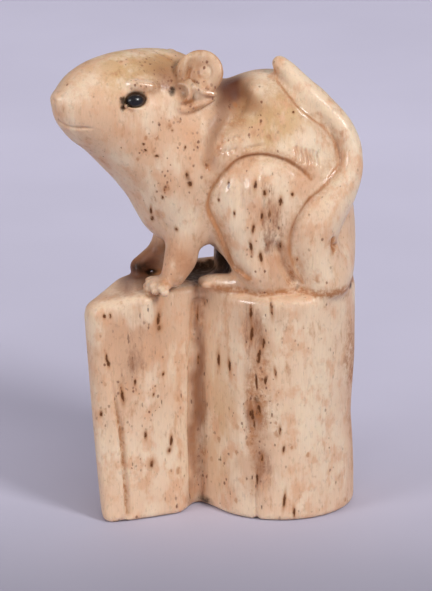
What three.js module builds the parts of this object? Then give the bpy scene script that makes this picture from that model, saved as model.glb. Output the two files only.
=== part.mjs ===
// A netsuke: a rat crouching on an upright two-lobed block, carved from one piece of bone,
// with two inlaid black eyes.
// Millimetres, +Z up. The origin is in the middle of the block's flat foot. The rat faces -X,
// and its near side, the side it shows, faces -Y.
//
// The carving is one solid. It is described by a field, the distance to its surface in
// millimetres and negative inside, which is built up from eggs, limbs and prisms the way a
// carver works: rough masses first, then limbs, then lines. The field's zero surface is then
// turned into triangles.

import * as THREE from 'three';
import { edgeTable, triTable } from 'three/addons/objects/MarchingCubes.js';
import { SimplifyModifier } from 'three/addons/modifiers/SimplifyModifier.js';

// ---------------------------------------------------------------- driving dimensions

const blockHeight = 24;
const blockEdgeRounding = 0.8;
const blockEndRounding = 1.7;
const rightLobeCentre = [6.2, 0];
const rightLobeRadius = 7.75;
const lobeBlend = 3.2;

const headCentre = [-7.0, -0.4, 43.1];
const headTurn = 24;
const headPitch = 0;
const eyeForward = 3.7;
const eyeUp = 1.55;
const eyeSetBack = 0.45;
const eyeLength = 2.1;
const eyeHeight = 1.45;
const eyeDepth = 1.6;
const eyeGap = 0.15;
const earRadius = 2.4;
const earThickness = 0.8;
const lineDepth = 0.3;

const carvingTriangles = 9300;
const gridStep = 0.3;

// ---------------------------------------------------------------- working with fields

const mix = (from, to, share) => from + (to - from) * share;
const clamp01 = (value) => Math.min(Math.max(value, 0), 1);
const radians = THREE.MathUtils.degToRad;

function easeBetween(start, end, value) {
  const share = clamp01((value - start) / (end - start));
  return share * share * (3 - 2 * share);
}

// Joins two solids with a fillet of about the given reach.
function join(first, second, reach) {
  const overlap = Math.max(reach - Math.abs(first - second), 0) / reach;
  return Math.min(first, second) - overlap * overlap * reach / 4;
}

// Cuts the second solid out of the first, with an edge softened over the given reach.
const cut = (first, second, reach) => -join(-first, second, reach);

// Keeps what both solids share, with an edge softened over the given reach.
const share = (first, second, reach) => -join(-first, -second, reach);

// An egg with three radii, turned about Z, then tilted about Y, then rolled about X, in degrees.
function egg(centre, radii, turn = 0, tilt = 0, roll = 0) {
  const euler = new THREE.Euler(radians(roll), radians(tilt), radians(turn), 'ZYX');
  const back = new THREE.Matrix4().makeRotationFromEuler(euler).transpose().elements;
  const [rx, ry, rz] = radii;
  const deepest = -Math.min(rx, ry, rz);
  return (x, y, z) => {
    const dx = x - centre[0];
    const dy = y - centre[1];
    const dz = z - centre[2];
    const u = (back[0] * dx + back[4] * dy + back[8] * dz) / rx;
    const v = (back[1] * dx + back[5] * dy + back[9] * dz) / ry;
    const w = (back[2] * dx + back[6] * dy + back[10] * dz) / rz;
    const ratio = Math.sqrt(u * u + v * v + w * w);
    const slope = Math.sqrt((u / rx) ** 2 + (v / ry) ** 2 + (w / rz) ** 2);
    return slope === 0 ? deepest : ratio * (ratio - 1) / slope;
  };
}

// A smooth run of stations through the given ones, each station [x, y, z, radius].
function smoothRun(stations, steps) {
  const run = [];
  const last = stations.length - 1;
  for (let i = 0; i < last; i += 1) {
    const before = stations[Math.max(i - 1, 0)];
    const after = stations[Math.min(i + 2, last)];
    for (let step = 0; step < steps; step += 1) {
      const t = step / steps;
      run.push(stations[i].map((value, axis) => {
        const next = stations[i + 1][axis];
        const leave = (next - before[axis]) / 2;
        const arrive = (after[axis] - value) / 2;
        const bend = 3 * (next - value) - 2 * leave - arrive;
        const twist = 2 * (value - next) + leave + arrive;
        return value + t * (leave + t * (bend + t * twist));
      }));
    }
  }
  run.push(stations[last]);
  return run;
}

// A limb, tail or toe: a round body that follows its stations with a changing radius.
function limb(stations, steps = 4) {
  const run = smoothRun(stations, steps);
  return (x, y, z) => {
    let nearest = Infinity;
    for (let i = 0; i + 1 < run.length; i += 1) {
      const [ax, ay, az, ar] = run[i];
      const bx = run[i + 1][0] - ax;
      const by = run[i + 1][1] - ay;
      const bz = run[i + 1][2] - az;
      const along = (x - ax) * bx + (y - ay) * by + (z - az) * bz;
      const t = clamp01(along / (bx * bx + by * by + bz * bz));
      const dx = x - ax - t * bx;
      const dy = y - ay - t * by;
      const dz = z - az - t * bz;
      const gap = Math.sqrt(dx * dx + dy * dy + dz * dz) - mix(ar, run[i + 1][3], t);
      if (gap < nearest) nearest = gap;
    }
    return nearest;
  };
}

// Distance to a flat outline with straight sides, negative inside it.
function outlineDistance(corners, x, y) {
  let nearest = Infinity;
  let inside = false;
  for (let i = 0; i < corners.length; i += 1) {
    const [ax, ay] = corners[i];
    const [bx, by] = corners[(i + 1) % corners.length];
    const ex = bx - ax;
    const ey = by - ay;
    const t = clamp01(((x - ax) * ex + (y - ay) * ey) / (ex * ex + ey * ey));
    nearest = Math.min(nearest, (x - ax - t * ex) ** 2 + (y - ay - t * ey) ** 2);
    if ((ay > y) !== (by > y) && x < ax + ex * (y - ay) / ey) inside = !inside;
  }
  return (inside ? -1 : 1) * Math.sqrt(nearest);
}

// A line drawn on the near side: its depth at (x, z), fading out over half its width.
function scoredLine(stations, width, depth) {
  const run = smoothRun(stations, 4);
  return (x, z) => {
    let nearest = Infinity;
    for (let i = 0; i + 1 < run.length; i += 1) {
      const [ax, az] = run[i];
      const bx = run[i + 1][0] - ax;
      const bz = run[i + 1][1] - az;
      const t = clamp01(((x - ax) * bx + (z - az) * bz) / (bx * bx + bz * bz));
      nearest = Math.min(nearest, (x - ax - t * bx) ** 2 + (z - az - t * bz) ** 2);
    }
    return depth * (1 - easeBetween(0, width / 2, Math.sqrt(nearest)));
  };
}

// ---------------------------------------------------------------- the block

// The left lobe's corners in plan, before rounding, at the foot and at the top. The lobe leans
// out to the left as it rises.
const leftLobeAtFoot = [[-10.3, -6.1], [-7.8, -5.0], [-5.4, -3.9], [-3.9, -0.8], [-2.0, 2.4], [-7.6, 1.0]];
const leftLobeAtTop = [[-12.2, -4.8], [-8.2, -4.6], [-6.6, -3.0], [-3.6, -1.2], [-2.0, 2.4], [-9.6, 0.5]];
const leftLobeRounding = 2.0;

// A slim strip stands proud along the left edge. It sinks into the lobe as it rises.
const stripAtFoot = [-11.15, -7.35];
const stripAtTop = [-13.1, -5.2];
const stripRadius = 1.0;
const stripSinks = 0.6;

// The line that parts the strip from the lobe's face, over the lower half.
const stripLine = scoredLine([[-9.9, -2], [-10.2, 5], [-10.9, 14]], 0.9, lineDepth);

// The valley between the two lobes is cut a little deeper along its floor.
const valleyLine = scoredLine([[-2.5, -2], [-2.4, 12], [-2.0, 26]], 2.8, 1.2 * lineDepth);

// The right lobe is pinched a little on its outer side, and the left lobe's top slopes down.
const waistDepth = 0.35;
const waistHeight = 10;
const waistReach = 4;
const leftTopDrop = 0.9;

function block(x, y, z) {
  const rise = clamp01(z / blockHeight) ** 0.85;
  const corners = leftLobeAtFoot.map(([footX, footY], i) => {
    const [topX, topY] = leftLobeAtTop[i];
    return [mix(footX, topX, rise), mix(footY, topY, rise)];
  });
  const left = outlineDistance(corners, x, y) - leftLobeRounding;
  const waist = waistDepth * Math.exp(-(((z - waistHeight) / waistReach) ** 2)) * easeBetween(9, 13, x);
  const right = Math.hypot(x - rightLobeCentre[0], y - rightLobeCentre[1]) - rightLobeRadius + waist;
  const [stripX, stripY] = stripAtFoot.map((value, axis) => mix(value, stripAtTop[axis], rise));
  const strip = Math.hypot(x - stripX, y - stripY) - stripRadius + stripSinks * easeBetween(9, 19, z);
  const plan = join(join(left, right, lobeBlend), strip, 0.25);
  const top = z - blockHeight + leftTopDrop * (1 - easeBetween(-14, -8, x));
  const topped = share(plan, top, mix(blockEndRounding, blockEdgeRounding, easeBetween(-14, -7, x)));
  let scored = topped;
  if (y < -4) scored += stripLine(x, z) * (1 - easeBetween(9, 14, z));
  if (y < 0 && z < blockHeight - 1) scored += valleyLine(x, z);
  return share(scored, -z, 0.5 * blockEdgeRounding);
}

// ---------------------------------------------------------------- the body

const chest = limb([[-8.7, -1.0, 40.6, 5.4], [-5.4, -0.2, 37.2, 5.8], [-3.8, 0, 33.0, 5.1]]);
const neck = limb([[-4.0, 0, 41.0, 5.2], [-0.6, 0.2, 39.2, 5.3], [2.0, 0.3, 38.0, 5.6]]);
const shoulder = egg([-2.4, -1.4, 36.8], [4.3, 5.0, 7.4], 0, 28);
const hump = egg([4.9, 0.3, 38.0], [8.3, 5.9, 8.2]);
const rump = egg([6.2, 0.3, 28.0], [7.75, 6.2, 15.4]);
const nearThigh = egg([4.1, -2.7, 33.4], [6.6, 4.6, 6.8]);
const nearShank = limb([
  [3.4, -3.9, 30.8, 3.2], [3.3, -4.3, 28.5, 2.75], [4.1, -4.7, 26.6, 2.5], [4.6, -4.9, 25.2, 2.0],
]);
const farThigh = egg([4.1, 3.0, 33.2], [6.4, 4.5, 6.6]);
const farShank = limb([[3.7, 4.4, 30.0, 3.0], [4.3, 4.9, 27.0, 2.2], [4.4, 5.0, 25.2, 1.9]]);
const farHeel = egg([1.8, 2.6, 26.0], [2.6, 2.4, 3.6]);

// Fills between the tail's bow and the back.
const tailBed = egg([10.6, -0.4, 37.9], [2.9, 2.9, 4.4]);

// The opening between the forelegs and the hind legs, and the rounded top of its near mouth.
const legGap = limb([[-0.5, -7.0, 25.4, 2.2], [-1.5, 6.5, 26.4, 1.5]]);
const legGapArch = limb([[-1.4, -7.0, 28.7, 0.85], [-1.4, 2.0, 26.2, 0.85]]);

// Lines drawn on the near side: over the haunch, and between the shoulder and the flank.
const haunchLine = scoredLine([
  [-1.1, 35.4], [-0.3, 36.5], [1.6, 37.9], [4.1, 38.6], [6.7, 38.2], [8.8, 36.8],
], 1.2, lineDepth);
const shoulderLine = scoredLine([
  [2.1, 44.8], [1.5, 43.4], [0.6, 42.0], [-0.2, 40.7], [-0.8, 39.4], [-1.2, 38.0],
], 2.8, 1.5 * lineDepth);

// The thigh runs into the rump at its back with a wide fillet, and into the belly with a narrow one.
const thighFillet = (x) => mix(0.4, 2.6, easeBetween(4, 8, x));

function body(x, y, z) {
  const front = join(join(chest(x, y, z), neck(x, y, z), 2.5), shoulder(x, y, z), 2);
  const back = join(hump(x, y, z), tailBed(x, y, z), 1.2);
  const rear = join(back, rump(x, y, z), 1.5);
  const nearLeg = join(nearThigh(x, y, z), nearShank(x, y, z), 1.5);
  const farLeg = join(join(farThigh(x, y, z), farShank(x, y, z), 1.5), farHeel(x, y, z), 0.8);
  const trunk = cut(join(front, rear, 1.2), legGap(x, y, z), 0.5);
  return join(trunk, Math.min(nearLeg, farLeg), thighFillet(x));
}

// ---------------------------------------------------------------- the head

// The head's own frame: forward along its snout, side towards the near cheek, and up.
const forwardAxis = new THREE.Vector3(-1, 0, 0)
  .applyAxisAngle(new THREE.Vector3(0, 1, 0), radians(headPitch))
  .applyAxisAngle(new THREE.Vector3(0, 0, 1), radians(headTurn));
const sideAxis = new THREE.Vector3(0, 0, 1).cross(forwardAxis).normalize();
const upAxis = new THREE.Vector3().crossVectors(forwardAxis, sideAxis);

// Where a place given in the head's frame lies on the object.
function onHead(forward, side, up) {
  return new THREE.Vector3(...headCentre)
    .addScaledVector(forwardAxis, forward)
    .addScaledVector(sideAxis, side)
    .addScaledVector(upAxis, up)
    .toArray();
}

const skull = egg(headCentre, [6.8, 5.2, 5.4], headTurn, headPitch);
const snout = egg(onHead(6.1, 0, 0.45), [4.8, 3.5, 3.95], headTurn, headPitch);
const jaw = egg(onHead(5.4, 0, -2.2), [3.6, 2.4, 2.0], headTurn, headPitch);
const nose = egg(onHead(10.4, 0, 1.3), [0.8, 1.0, 0.8], headTurn, headPitch);

function head(x, y, z) {
  const mass = join(skull(x, y, z), snout(x, y, z), 4.5);
  return join(join(mass, jaw(x, y, z), 1), nose(x, y, z), 0.6);
}

// ---------------------------------------------------------------- ears

// A round lens that faces along a direction, with its radius and half its thickness.
function lens(centre, facing, radius, halfThickness) {
  const [fx, fy, fz] = new THREE.Vector3(...facing).normalize().toArray();
  return (x, y, z) => {
    const dx = x - centre[0];
    const dy = y - centre[1];
    const dz = z - centre[2];
    const height = dx * fx + dy * fy + dz * fz;
    const aside = Math.sqrt(Math.max(dx * dx + dy * dy + dz * dz - height * height, 0));
    const u = aside / radius;
    const v = height / halfThickness;
    const ratio = Math.sqrt(u * u + v * v);
    const slope = Math.sqrt((u / radius) ** 2 + (v / halfThickness) ** 2);
    return slope === 0 ? -halfThickness : ratio * (ratio - 1) / slope;
  };
}

// An ear is a dished disc that stands behind the skull.
function earDisc(centre, facing, radius) {
  const ahead = new THREE.Vector3(...facing).normalize().multiplyScalar(0.95 * earThickness);
  const dishCentre = new THREE.Vector3(...centre).add(ahead).toArray();
  const disc = lens(centre, facing, radius, earThickness);
  const dish = lens(dishCentre, facing, 0.8 * radius, 0.75 * earThickness);
  return (x, y, z) => cut(disc(x, y, z), dish(x, y, z), 0.2);
}

const nearEarDisc = earDisc([-2.05, -3.7, 46.9], [-0.2, -0.93, 0.35], earRadius);
const farEarDisc = earDisc([-5.9, 3.6, 45.75], [-0.65, 0.66, 0.38], 0.83 * earRadius);
const nearEarCup = egg([-3.8, -4.7, 45.1], [1.3, 1.1, 1.35], 20);
const nearEarHollow = egg([-4.2, -5.6, 45.4], [0.95, 0.9, 0.95], 20);

function ears(x, y, z) {
  const cup = cut(nearEarCup(x, y, z), nearEarHollow(x, y, z), 0.2);
  return Math.min(join(nearEarDisc(x, y, z), cup, 0.4), farEarDisc(x, y, z));
}

// ---------------------------------------------------------------- limbs and tail

const nearForeleg = limb([
  [-3.0, -2.6, 33.6, 3.2],
  [-2.8, -3.1, 31.2, 2.7],
  [-3.6, -3.8, 29.0, 2.0],
  [-4.15, -4.3, 27.3, 1.68],
  [-4.8, -4.7, 25.8, 1.3],
]);
const farForeleg = limb([
  [-5.0, 2.2, 31.5, 2.6],
  [-5.6, 2.1, 28.6, 1.35],
  [-6.4, 1.9, 26.6, 1.1],
  [-7.4, 1.7, 25.6, 1.05],
  [-8.5, 1.5, 24.85, 0.95],
]);
const farWeb = egg([-5.2, 1.6, 25.2], [1.8, 1.3, 1.7]);

// Toes fan out from a wrist or ankle: each ends at its own place with its own turn.
function toes(root, reach, turns, radius) {
  const each = turns.map((turn) => {
    const angle = radians(turn);
    const tip = [root[0] - reach * Math.cos(angle), root[1] + reach * Math.sin(angle), root[2] - 0.25];
    return limb([[...root, radius], [...tip, 0.8 * radius]], 1);
  });
  return (x, y, z) => Math.min(...each.map((toe) => toe(x, y, z)));
}

const nearPaw = toes([-5.0, -4.4, 25.2], 2.5, [-62, -36, -12, 14], 0.62);
const nearFoot = limb([
  [4.4, -4.8, 25.0, 1.5], [1.7, -4.35, 24.7, 1.15], [-0.4, -3.5, 24.6, 1.0], [-1.7, -2.9, 24.55, 0.75],
]);
const farPaw = toes([-8.0, 1.5, 24.75], 0.9, [-50, -15, 20, 50], 0.6);
const farFoot = limb([
  [4.6, 5.4, 25.2, 1.3], [2.0, 5.0, 24.2, 1.0], [-1.0, 4.2, 24.1, 0.95], [-3.0, 3.6, 24.1, 0.9],
]);

const tail = limb([
  [10.4, -3.9, 25.0, 2.8],
  [9.5, -4.6, 29.2, 2.45],
  [10.3, -4.7, 31.9, 2.3],
  [11.9, -4.2, 34.2, 1.9],
  [13.1, -3.7, 36.3, 1.4],
  [13.35, -3.4, 37.9, 1.2],
  [13.1, -3.0, 39.4, 1.2],
  [12.15, -2.6, 41.1, 1.3],
  [10.7, -2.2, 42.6, 1.35],
  [9.2, -1.9, 43.9, 1.4],
  [7.9, -1.5, 45.1, 1.3],
  [6.8, -1.1, 46.3, 1.15],
  [6.0, -0.8, 47.2, 0.85],
], 3);
const tailRoot = egg([10.6, -1.5, 26.2], [3.2, 3.9, 4.4]);

// ---------------------------------------------------------------- eyes

// How far out from the head's middle plane its surface lies, found by halving.
function cheekWidth(forward, up) {
  let inner = 0;
  let outer = 8;
  for (let i = 0; i < 30; i += 1) {
    const middle = (inner + outer) / 2;
    if (head(...onHead(forward, middle, up)) < 0) inner = middle;
    else outer = middle;
  }
  return inner;
}

const eyeSide = cheekWidth(eyeForward, eyeUp) - eyeSetBack;

function eyeEgg(side, grow) {
  const radii = [eyeLength / 2 + grow, eyeDepth / 2 + grow, eyeHeight / 2 + grow];
  return { place: onHead(eyeForward, side * eyeSide, eyeUp), radii };
}

function socket(side) {
  const { place, radii } = eyeEgg(side, eyeGap);
  return egg(place, radii, headTurn, headPitch);
}

const nearSocket = socket(1);
const farSocket = socket(-1);

// ---------------------------------------------------------------- the whole carving

function carving(x, y, z) {
  let solid = join(body(x, y, z), head(x, y, z), 1.5);
  solid = join(solid, ears(x, y, z), 0.4);
  const farArm = join(farForeleg(x, y, z), farWeb(x, y, z), 0.8);
  solid = join(solid, Math.min(nearForeleg(x, y, z), farArm), 1.0);
  solid = cut(solid, legGapArch(x, y, z), 0.4);
  solid = join(solid, Math.min(nearPaw(x, y, z), farPaw(x, y, z)), 0.2);
  solid = join(solid, Math.min(nearFoot(x, y, z), farFoot(x, y, z)), 0.3);
  if (y < -1) solid += Math.max(haunchLine(x, z), shoulderLine(x, z));
  solid = join(solid, join(tail(x, y, z), tailRoot(x, y, z), 0.8), 0.3);
  solid = share(solid, blockHeight - 0.4 - z, 0.2);
  solid = join(solid, block(x, y, z), 0.3);
  return cut(solid, Math.min(nearSocket(x, y, z), farSocket(x, y, z)), 0.1);
}

// ---------------------------------------------------------------- from field to triangles

// The cube's corners as steps along x, y and z, and its edges as pairs of corners, in the order
// that the marching cubes tables number them.
const cubeCorners = [[0, 0, 0], [1, 0, 0], [1, 1, 0], [0, 1, 0], [0, 0, 1], [1, 0, 1], [1, 1, 1], [0, 1, 1]];
const cubeEdges = [
  [0, 1], [1, 2], [2, 3], [3, 0], [4, 5], [5, 6], [6, 7], [7, 4], [0, 4], [1, 5], [2, 6], [3, 7],
];

function surfaceOf(field, low, high, step) {
  const count = low.map((value, axis) => Math.ceil((high[axis] - value) / step) + 1);
  const values = new Float64Array(count[0] * count[1] * count[2]);
  const indexOf = (i, j, k) => i + count[0] * (j + count[1] * k);
  const placeOf = (i, j, k) => [low[0] + i * step, low[1] + j * step, low[2] + k * step];
  for (let k = 0; k < count[2]; k += 1) {
    for (let j = 0; j < count[1]; j += 1) {
      for (let i = 0; i < count[0]; i += 1) values[indexOf(i, j, k)] = field(...placeOf(i, j, k));
    }
  }
  const positions = [];
  const triangles = [];
  const pointOnEdge = new Map();
  const pointBetween = (first, second) => {
    const a = indexOf(...first);
    const b = indexOf(...second);
    const key = a < b ? a * values.length + b : b * values.length + a;
    if (!pointOnEdge.has(key)) {
      const t = values[a] / (values[a] - values[b]);
      const from = placeOf(...first);
      const to = placeOf(...second);
      pointOnEdge.set(key, positions.length / 3);
      positions.push(...from.map((value, axis) => mix(value, to[axis], t)));
    }
    return pointOnEdge.get(key);
  };
  for (let k = 0; k + 1 < count[2]; k += 1) {
    for (let j = 0; j + 1 < count[1]; j += 1) {
      for (let i = 0; i + 1 < count[0]; i += 1) {
        const corners = cubeCorners.map(([di, dj, dk]) => [i + di, j + dj, k + dk]);
        let pattern = 0;
        corners.forEach((corner, bit) => {
          if (values[indexOf(...corner)] < 0) pattern += 2 ** bit;
        });
        if (edgeTable[pattern] === 0) continue;
        for (let entry = 16 * pattern; triTable[entry] !== -1; entry += 3) {
          const ring = [2, 1, 0].map((offset) => {
            const [start, end] = cubeEdges[triTable[entry + offset]];
            return pointBetween(corners[start], corners[end]);
          });
          triangles.push(...ring);
        }
      }
    }
  }
  return { positions, triangles };
}

async function carvedGeometry() {
  const low = [-18.3, -9.7, -0.37];
  const high = [15.6, 9.3, 49.8];
  const { positions, triangles } = surfaceOf(carving, low, high, gridStep);
  const fine = new THREE.BufferGeometry();
  fine.setAttribute('position', new THREE.Float32BufferAttribute(positions, 3));
  fine.setIndex(triangles);
  const spare = Math.round(positions.length / 3 - carvingTriangles / 2);
  return new SimplifyModifier().modify(fine, spare);
}

// ---------------------------------------------------------------- the pieces

const boneMaterial = new THREE.MeshStandardMaterial({ color: 0xe3c3a2, roughness: 0.38, metalness: 0 });
const eyeMaterial = new THREE.MeshStandardMaterial({ color: 0x0b0a0c, roughness: 0.08, metalness: 0 });

async function makeCarving() {
  const mesh = new THREE.Mesh(await carvedGeometry(), boneMaterial);
  mesh.name = 'carving';
  return mesh;
}

function makeEye(name, side) {
  const { place, radii } = eyeEgg(side, 0);
  const geometry = new THREE.SphereGeometry(1, 16, 10);
  geometry.rotateX(Math.PI / 2);
  geometry.scale(...radii);
  const mesh = new THREE.Mesh(geometry, eyeMaterial.clone());
  mesh.name = name;
  mesh.position.set(...place);
  mesh.rotation.set(0, radians(headPitch), radians(headTurn), 'ZYX');
  return mesh;
}

const netsuke = new THREE.Group();
netsuke.name = 'netsuke';
netsuke.add(await makeCarving());
netsuke.add(makeEye('near_eye', 1));
netsuke.add(makeEye('far_eye', -1));

export default netsuke;
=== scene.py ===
"""A netsuke: a rat crouching on an upright two-lobed block, all of one piece of bone, with
two inlaid black eyes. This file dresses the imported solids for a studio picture.

The tables of places below are in millimetres, in the object's own frame. Blender's meshes
and settings are in metres.
"""
import math

import bpy
import numpy as np
from mathutils import Matrix, Vector
from mathutils.bvhtree import BVHTree
from mathutils.kdtree import KDTree


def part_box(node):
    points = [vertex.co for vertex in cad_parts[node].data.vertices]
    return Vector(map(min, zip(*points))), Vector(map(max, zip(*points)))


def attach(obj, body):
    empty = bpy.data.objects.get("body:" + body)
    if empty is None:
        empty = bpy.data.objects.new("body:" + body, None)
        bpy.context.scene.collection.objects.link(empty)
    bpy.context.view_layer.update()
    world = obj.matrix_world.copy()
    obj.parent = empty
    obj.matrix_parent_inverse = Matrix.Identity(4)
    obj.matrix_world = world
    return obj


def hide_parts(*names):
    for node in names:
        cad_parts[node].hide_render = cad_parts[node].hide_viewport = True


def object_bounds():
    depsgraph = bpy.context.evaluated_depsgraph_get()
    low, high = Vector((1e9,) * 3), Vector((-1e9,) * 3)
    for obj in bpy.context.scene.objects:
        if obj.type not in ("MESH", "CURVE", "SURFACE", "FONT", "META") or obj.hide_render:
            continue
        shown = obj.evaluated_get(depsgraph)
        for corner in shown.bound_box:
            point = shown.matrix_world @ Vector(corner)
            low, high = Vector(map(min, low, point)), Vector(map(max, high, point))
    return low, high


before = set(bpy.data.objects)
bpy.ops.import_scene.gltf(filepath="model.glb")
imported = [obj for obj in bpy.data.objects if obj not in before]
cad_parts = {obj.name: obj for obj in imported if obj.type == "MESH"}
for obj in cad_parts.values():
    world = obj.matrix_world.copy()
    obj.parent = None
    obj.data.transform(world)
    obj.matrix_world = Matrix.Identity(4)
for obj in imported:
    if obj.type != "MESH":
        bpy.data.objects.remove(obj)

bl_info = {
    "name": "Netsuke rat on a block",
    "version": (1, 0, 0),
    "blender": (4, 5, 0),
    "location": "View3D > Sidebar > Netsuke",
    "description": "Carves the bone rat, sets its eyes and lights the table",
    "category": "Object",
}

MM = 0.001
CAD_LOW, CAD_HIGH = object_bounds()


# ---------------------------------------------------------------- settings


def length(name, description, size):
    """A length for the panel, its default given in millimetres."""
    return bpy.props.FloatProperty(
        name=name, description=description, default=size * MM, precision=6, unit="LENGTH",
    )


def paint(name, description, default):
    """A colour for the panel."""
    return bpy.props.FloatVectorProperty(
        name=name, description=description, default=default, subtype="COLOR", size=3,
        min=0.0, max=1.0,
    )


class CarvingSettings(bpy.types.PropertyGroup):
    """Sizes of the carving's detail."""

    clay_step: length("Clay step", "Edge length of the mesh that the detail is cut in", 0.14)
    melt_passes: bpy.props.IntProperty(
        name="Melt passes",
        description="How often the rough form is smoothed before any line is cut",
        default=34, min=0,
    )
    face_limit: bpy.props.IntProperty(
        name="Face limit",
        description="Most triangles that the finished carving keeps",
        default=190000, min=10000,
    )
    line_depth: length("Line depth", "Depth of the carved lines round the haunch and tail", 0.2)
    fur_depth: length("Fur depth", "Depth of the fur strokes", 0.24)


class BoneSettings(bpy.types.PropertyGroup):
    """Colours and polish of the bone."""

    cream: paint("Cream", "Palest bone", (0.83, 0.65, 0.465))
    honey: paint("Honey", "Yellow bone on the back and the head", (0.62, 0.385, 0.18))
    peach: paint("Peach", "Warm patches of handled bone", (0.69, 0.385, 0.22))
    # umber also lays painted shade down the block's groove and behind the ear
    umber: paint("Umber", "Brown shadow of old dirt", (0.30, 0.120, 0.052))
    # under the belly this colour lays painted shade
    smoke: paint("Smoke", "Grey-brown grime on the block", (0.25, 0.14, 0.095))
    # behind the ear this colour also lays painted shade in the hollow
    soot: paint("Soot", "Darkest brown, behind the ear and the paws", (0.13, 0.036, 0.012))
    # this colour also lays painted shade in broad hollows and sheltered places
    stain_and_shade: paint("Stain", "Orange-brown stain along the cuts", (0.41, 0.155, 0.045))
    speck: paint("Specks", "Red-brown specks on the head and the flank", (0.17, 0.05, 0.018))
    # this colour also lays near-black painted shade where the sky is most shut off
    dirt_and_shade: paint("Dirt", "Dark dirt in the hollows", (0.035, 0.020, 0.012))
    canal: paint("Canals", "Dark dashes where canals are cut open", (0.10, 0.034, 0.013))
    roughness: bpy.props.FloatProperty(
        name="Roughness", description="Roughness of the polished bone", subtype="FACTOR",
        default=0.5, min=0.0, max=1.0,
    )


class EyeSettings(bpy.types.PropertyGroup):
    """Finish of the inlaid eyes."""

    colour: paint("Bead", "Colour of the bead", (0.006, 0.005, 0.007))
    rim: paint("Rim", "Brown round the bead's edge", (0.035, 0.014, 0.008))


class StageSettings(bpy.types.PropertyGroup):
    """The table, the lights and the camera."""

    cloth: paint("Table", "Colour of the table", (0.60, 0.575, 0.70))
    room: paint("Room", "Colour of the light from all round", (0.92, 0.90, 1.0))
    elevation: bpy.props.FloatProperty(
        name="Elevation", description="How far the camera looks down", subtype="ANGLE",
        default=math.radians(17.5),
    )
    distance: length("Distance", "From the camera to the middle of the netsuke", 520)
    lens: bpy.props.FloatProperty(
        name="Lens", description="Focal length on a 36 mm sensor", default=305.85,
        unit="CAMERA",
    )


# ---------------------------------------------------------------- working by hand


def deselect_all():
    if bpy.context.object and bpy.context.object.mode != "OBJECT":
        bpy.ops.object.mode_set(mode="OBJECT")
    bpy.ops.object.select_all(action="DESELECT")


def take_up(piece):
    deselect_all()
    piece.select_set(True)
    bpy.context.view_layer.objects.active = piece


def apply_modifier(piece, kind, **settings):
    take_up(piece)
    modifier = piece.modifiers.new(kind.title(), kind)
    for name, value in settings.items():
        setattr(modifier, name, value)
    bpy.ops.object.modifier_apply(modifier=modifier.name)


def in_edit_mode(piece, *steps):
    """Runs edit mode steps on the whole of a piece."""
    take_up(piece)
    bpy.ops.object.mode_set(mode="EDIT")
    bpy.ops.mesh.select_all(action="SELECT")
    for step in steps:
        step()
    bpy.ops.object.mode_set(mode="OBJECT")


def merged_copy(node, name):
    """A copy of a CAD node with its loose triangles sewn together."""
    piece = bpy.data.objects.new(name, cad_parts[node].data.copy())
    bpy.context.scene.collection.objects.link(piece)
    piece.data.materials.clear()
    in_edit_mode(piece, lambda: bpy.ops.mesh.remove_doubles(threshold=0.001 * MM))
    return piece


def join_to(piece, others):
    take_up(piece)
    for other in others:
        other.select_set(True)
    bpy.ops.object.join()


def settle(piece, matrix):
    """Puts a matrix into a piece's mesh and leaves its object at the origin."""
    piece.data.transform(matrix)
    piece.matrix_world = Matrix.Identity(4)


def turned(name, profile, steps=48):
    """A solid turned about Z from (radius, height) pairs in millimetres, first and last on
    the axis."""
    mesh = bpy.data.meshes.new(name)
    points = [(radius * MM, 0, height * MM) for radius, height in profile]
    mesh.from_pydata(points, [(i, i + 1) for i in range(len(points) - 1)], [])
    piece = bpy.data.objects.new(name, mesh)
    bpy.context.scene.collection.objects.link(piece)
    in_edit_mode(
        piece,
        lambda: bpy.ops.mesh.spin(
            steps=steps, angle=2 * math.pi, center=(0, 0, 0), axis=(0, 0, 1)
        ),
        lambda: bpy.ops.mesh.select_all(action="SELECT"),
        lambda: bpy.ops.mesh.remove_doubles(threshold=0.002 * MM),
        lambda: bpy.ops.mesh.normals_make_consistent(inside=False),
    )
    return piece


def facing(place, direction, lean=(0, 0, 1)):
    """The matrix that stands a piece at a place, its Z along a direction and its Y as near
    to the lean as that allows."""
    z = Vector(direction).normalized()
    x = Vector(lean).cross(z).normalized()
    y = z.cross(x)
    turn = Matrix((x, y, z)).transposed().to_4x4()
    return Matrix.Translation(Vector(place) * MM) @ turn


def pebble(name, place, radii, turn=(0, 0, 0)):
    """A smooth egg, its radii in millimetres and its turn in degrees."""
    deselect_all()
    bpy.ops.mesh.primitive_uv_sphere_add(segments=32, ring_count=20, radius=1)
    piece = bpy.context.object
    piece.name = name
    angles = [math.radians(angle) for angle in turn]
    rotation = Matrix.Rotation(angles[2], 4, "Z") @ Matrix.Rotation(angles[1], 4, "Y")
    rotation = rotation @ Matrix.Rotation(angles[0], 4, "X")
    scale = Matrix.Diagonal((*(radius * MM for radius in radii), 1))
    settle(piece, Matrix.Translation(Vector(place) * MM) @ rotation @ scale)
    return piece


def roll(name, stations):
    """A round roll of bone through stations (x, y, z, radius), in millimetres."""
    curve = bpy.data.curves.new(name, "CURVE")
    curve.dimensions = "3D"
    curve.bevel_depth = 1
    curve.bevel_resolution = 5
    curve.use_fill_caps = True
    line = curve.splines.new("NURBS")
    line.points.add(len(stations) - 1)
    for point, (x, y, z, radius) in zip(line.points, stations):
        point.co = (x * MM, y * MM, z * MM, 1)
        point.radius = radius * MM
    line.order_u = 3
    line.use_endpoint_u = True
    piece = bpy.data.objects.new(name, curve)
    bpy.context.scene.collection.objects.link(piece)
    take_up(piece)
    bpy.ops.object.convert(target="MESH")
    return bpy.context.object


# ---------------------------------------------------------------- carving the clay


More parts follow.
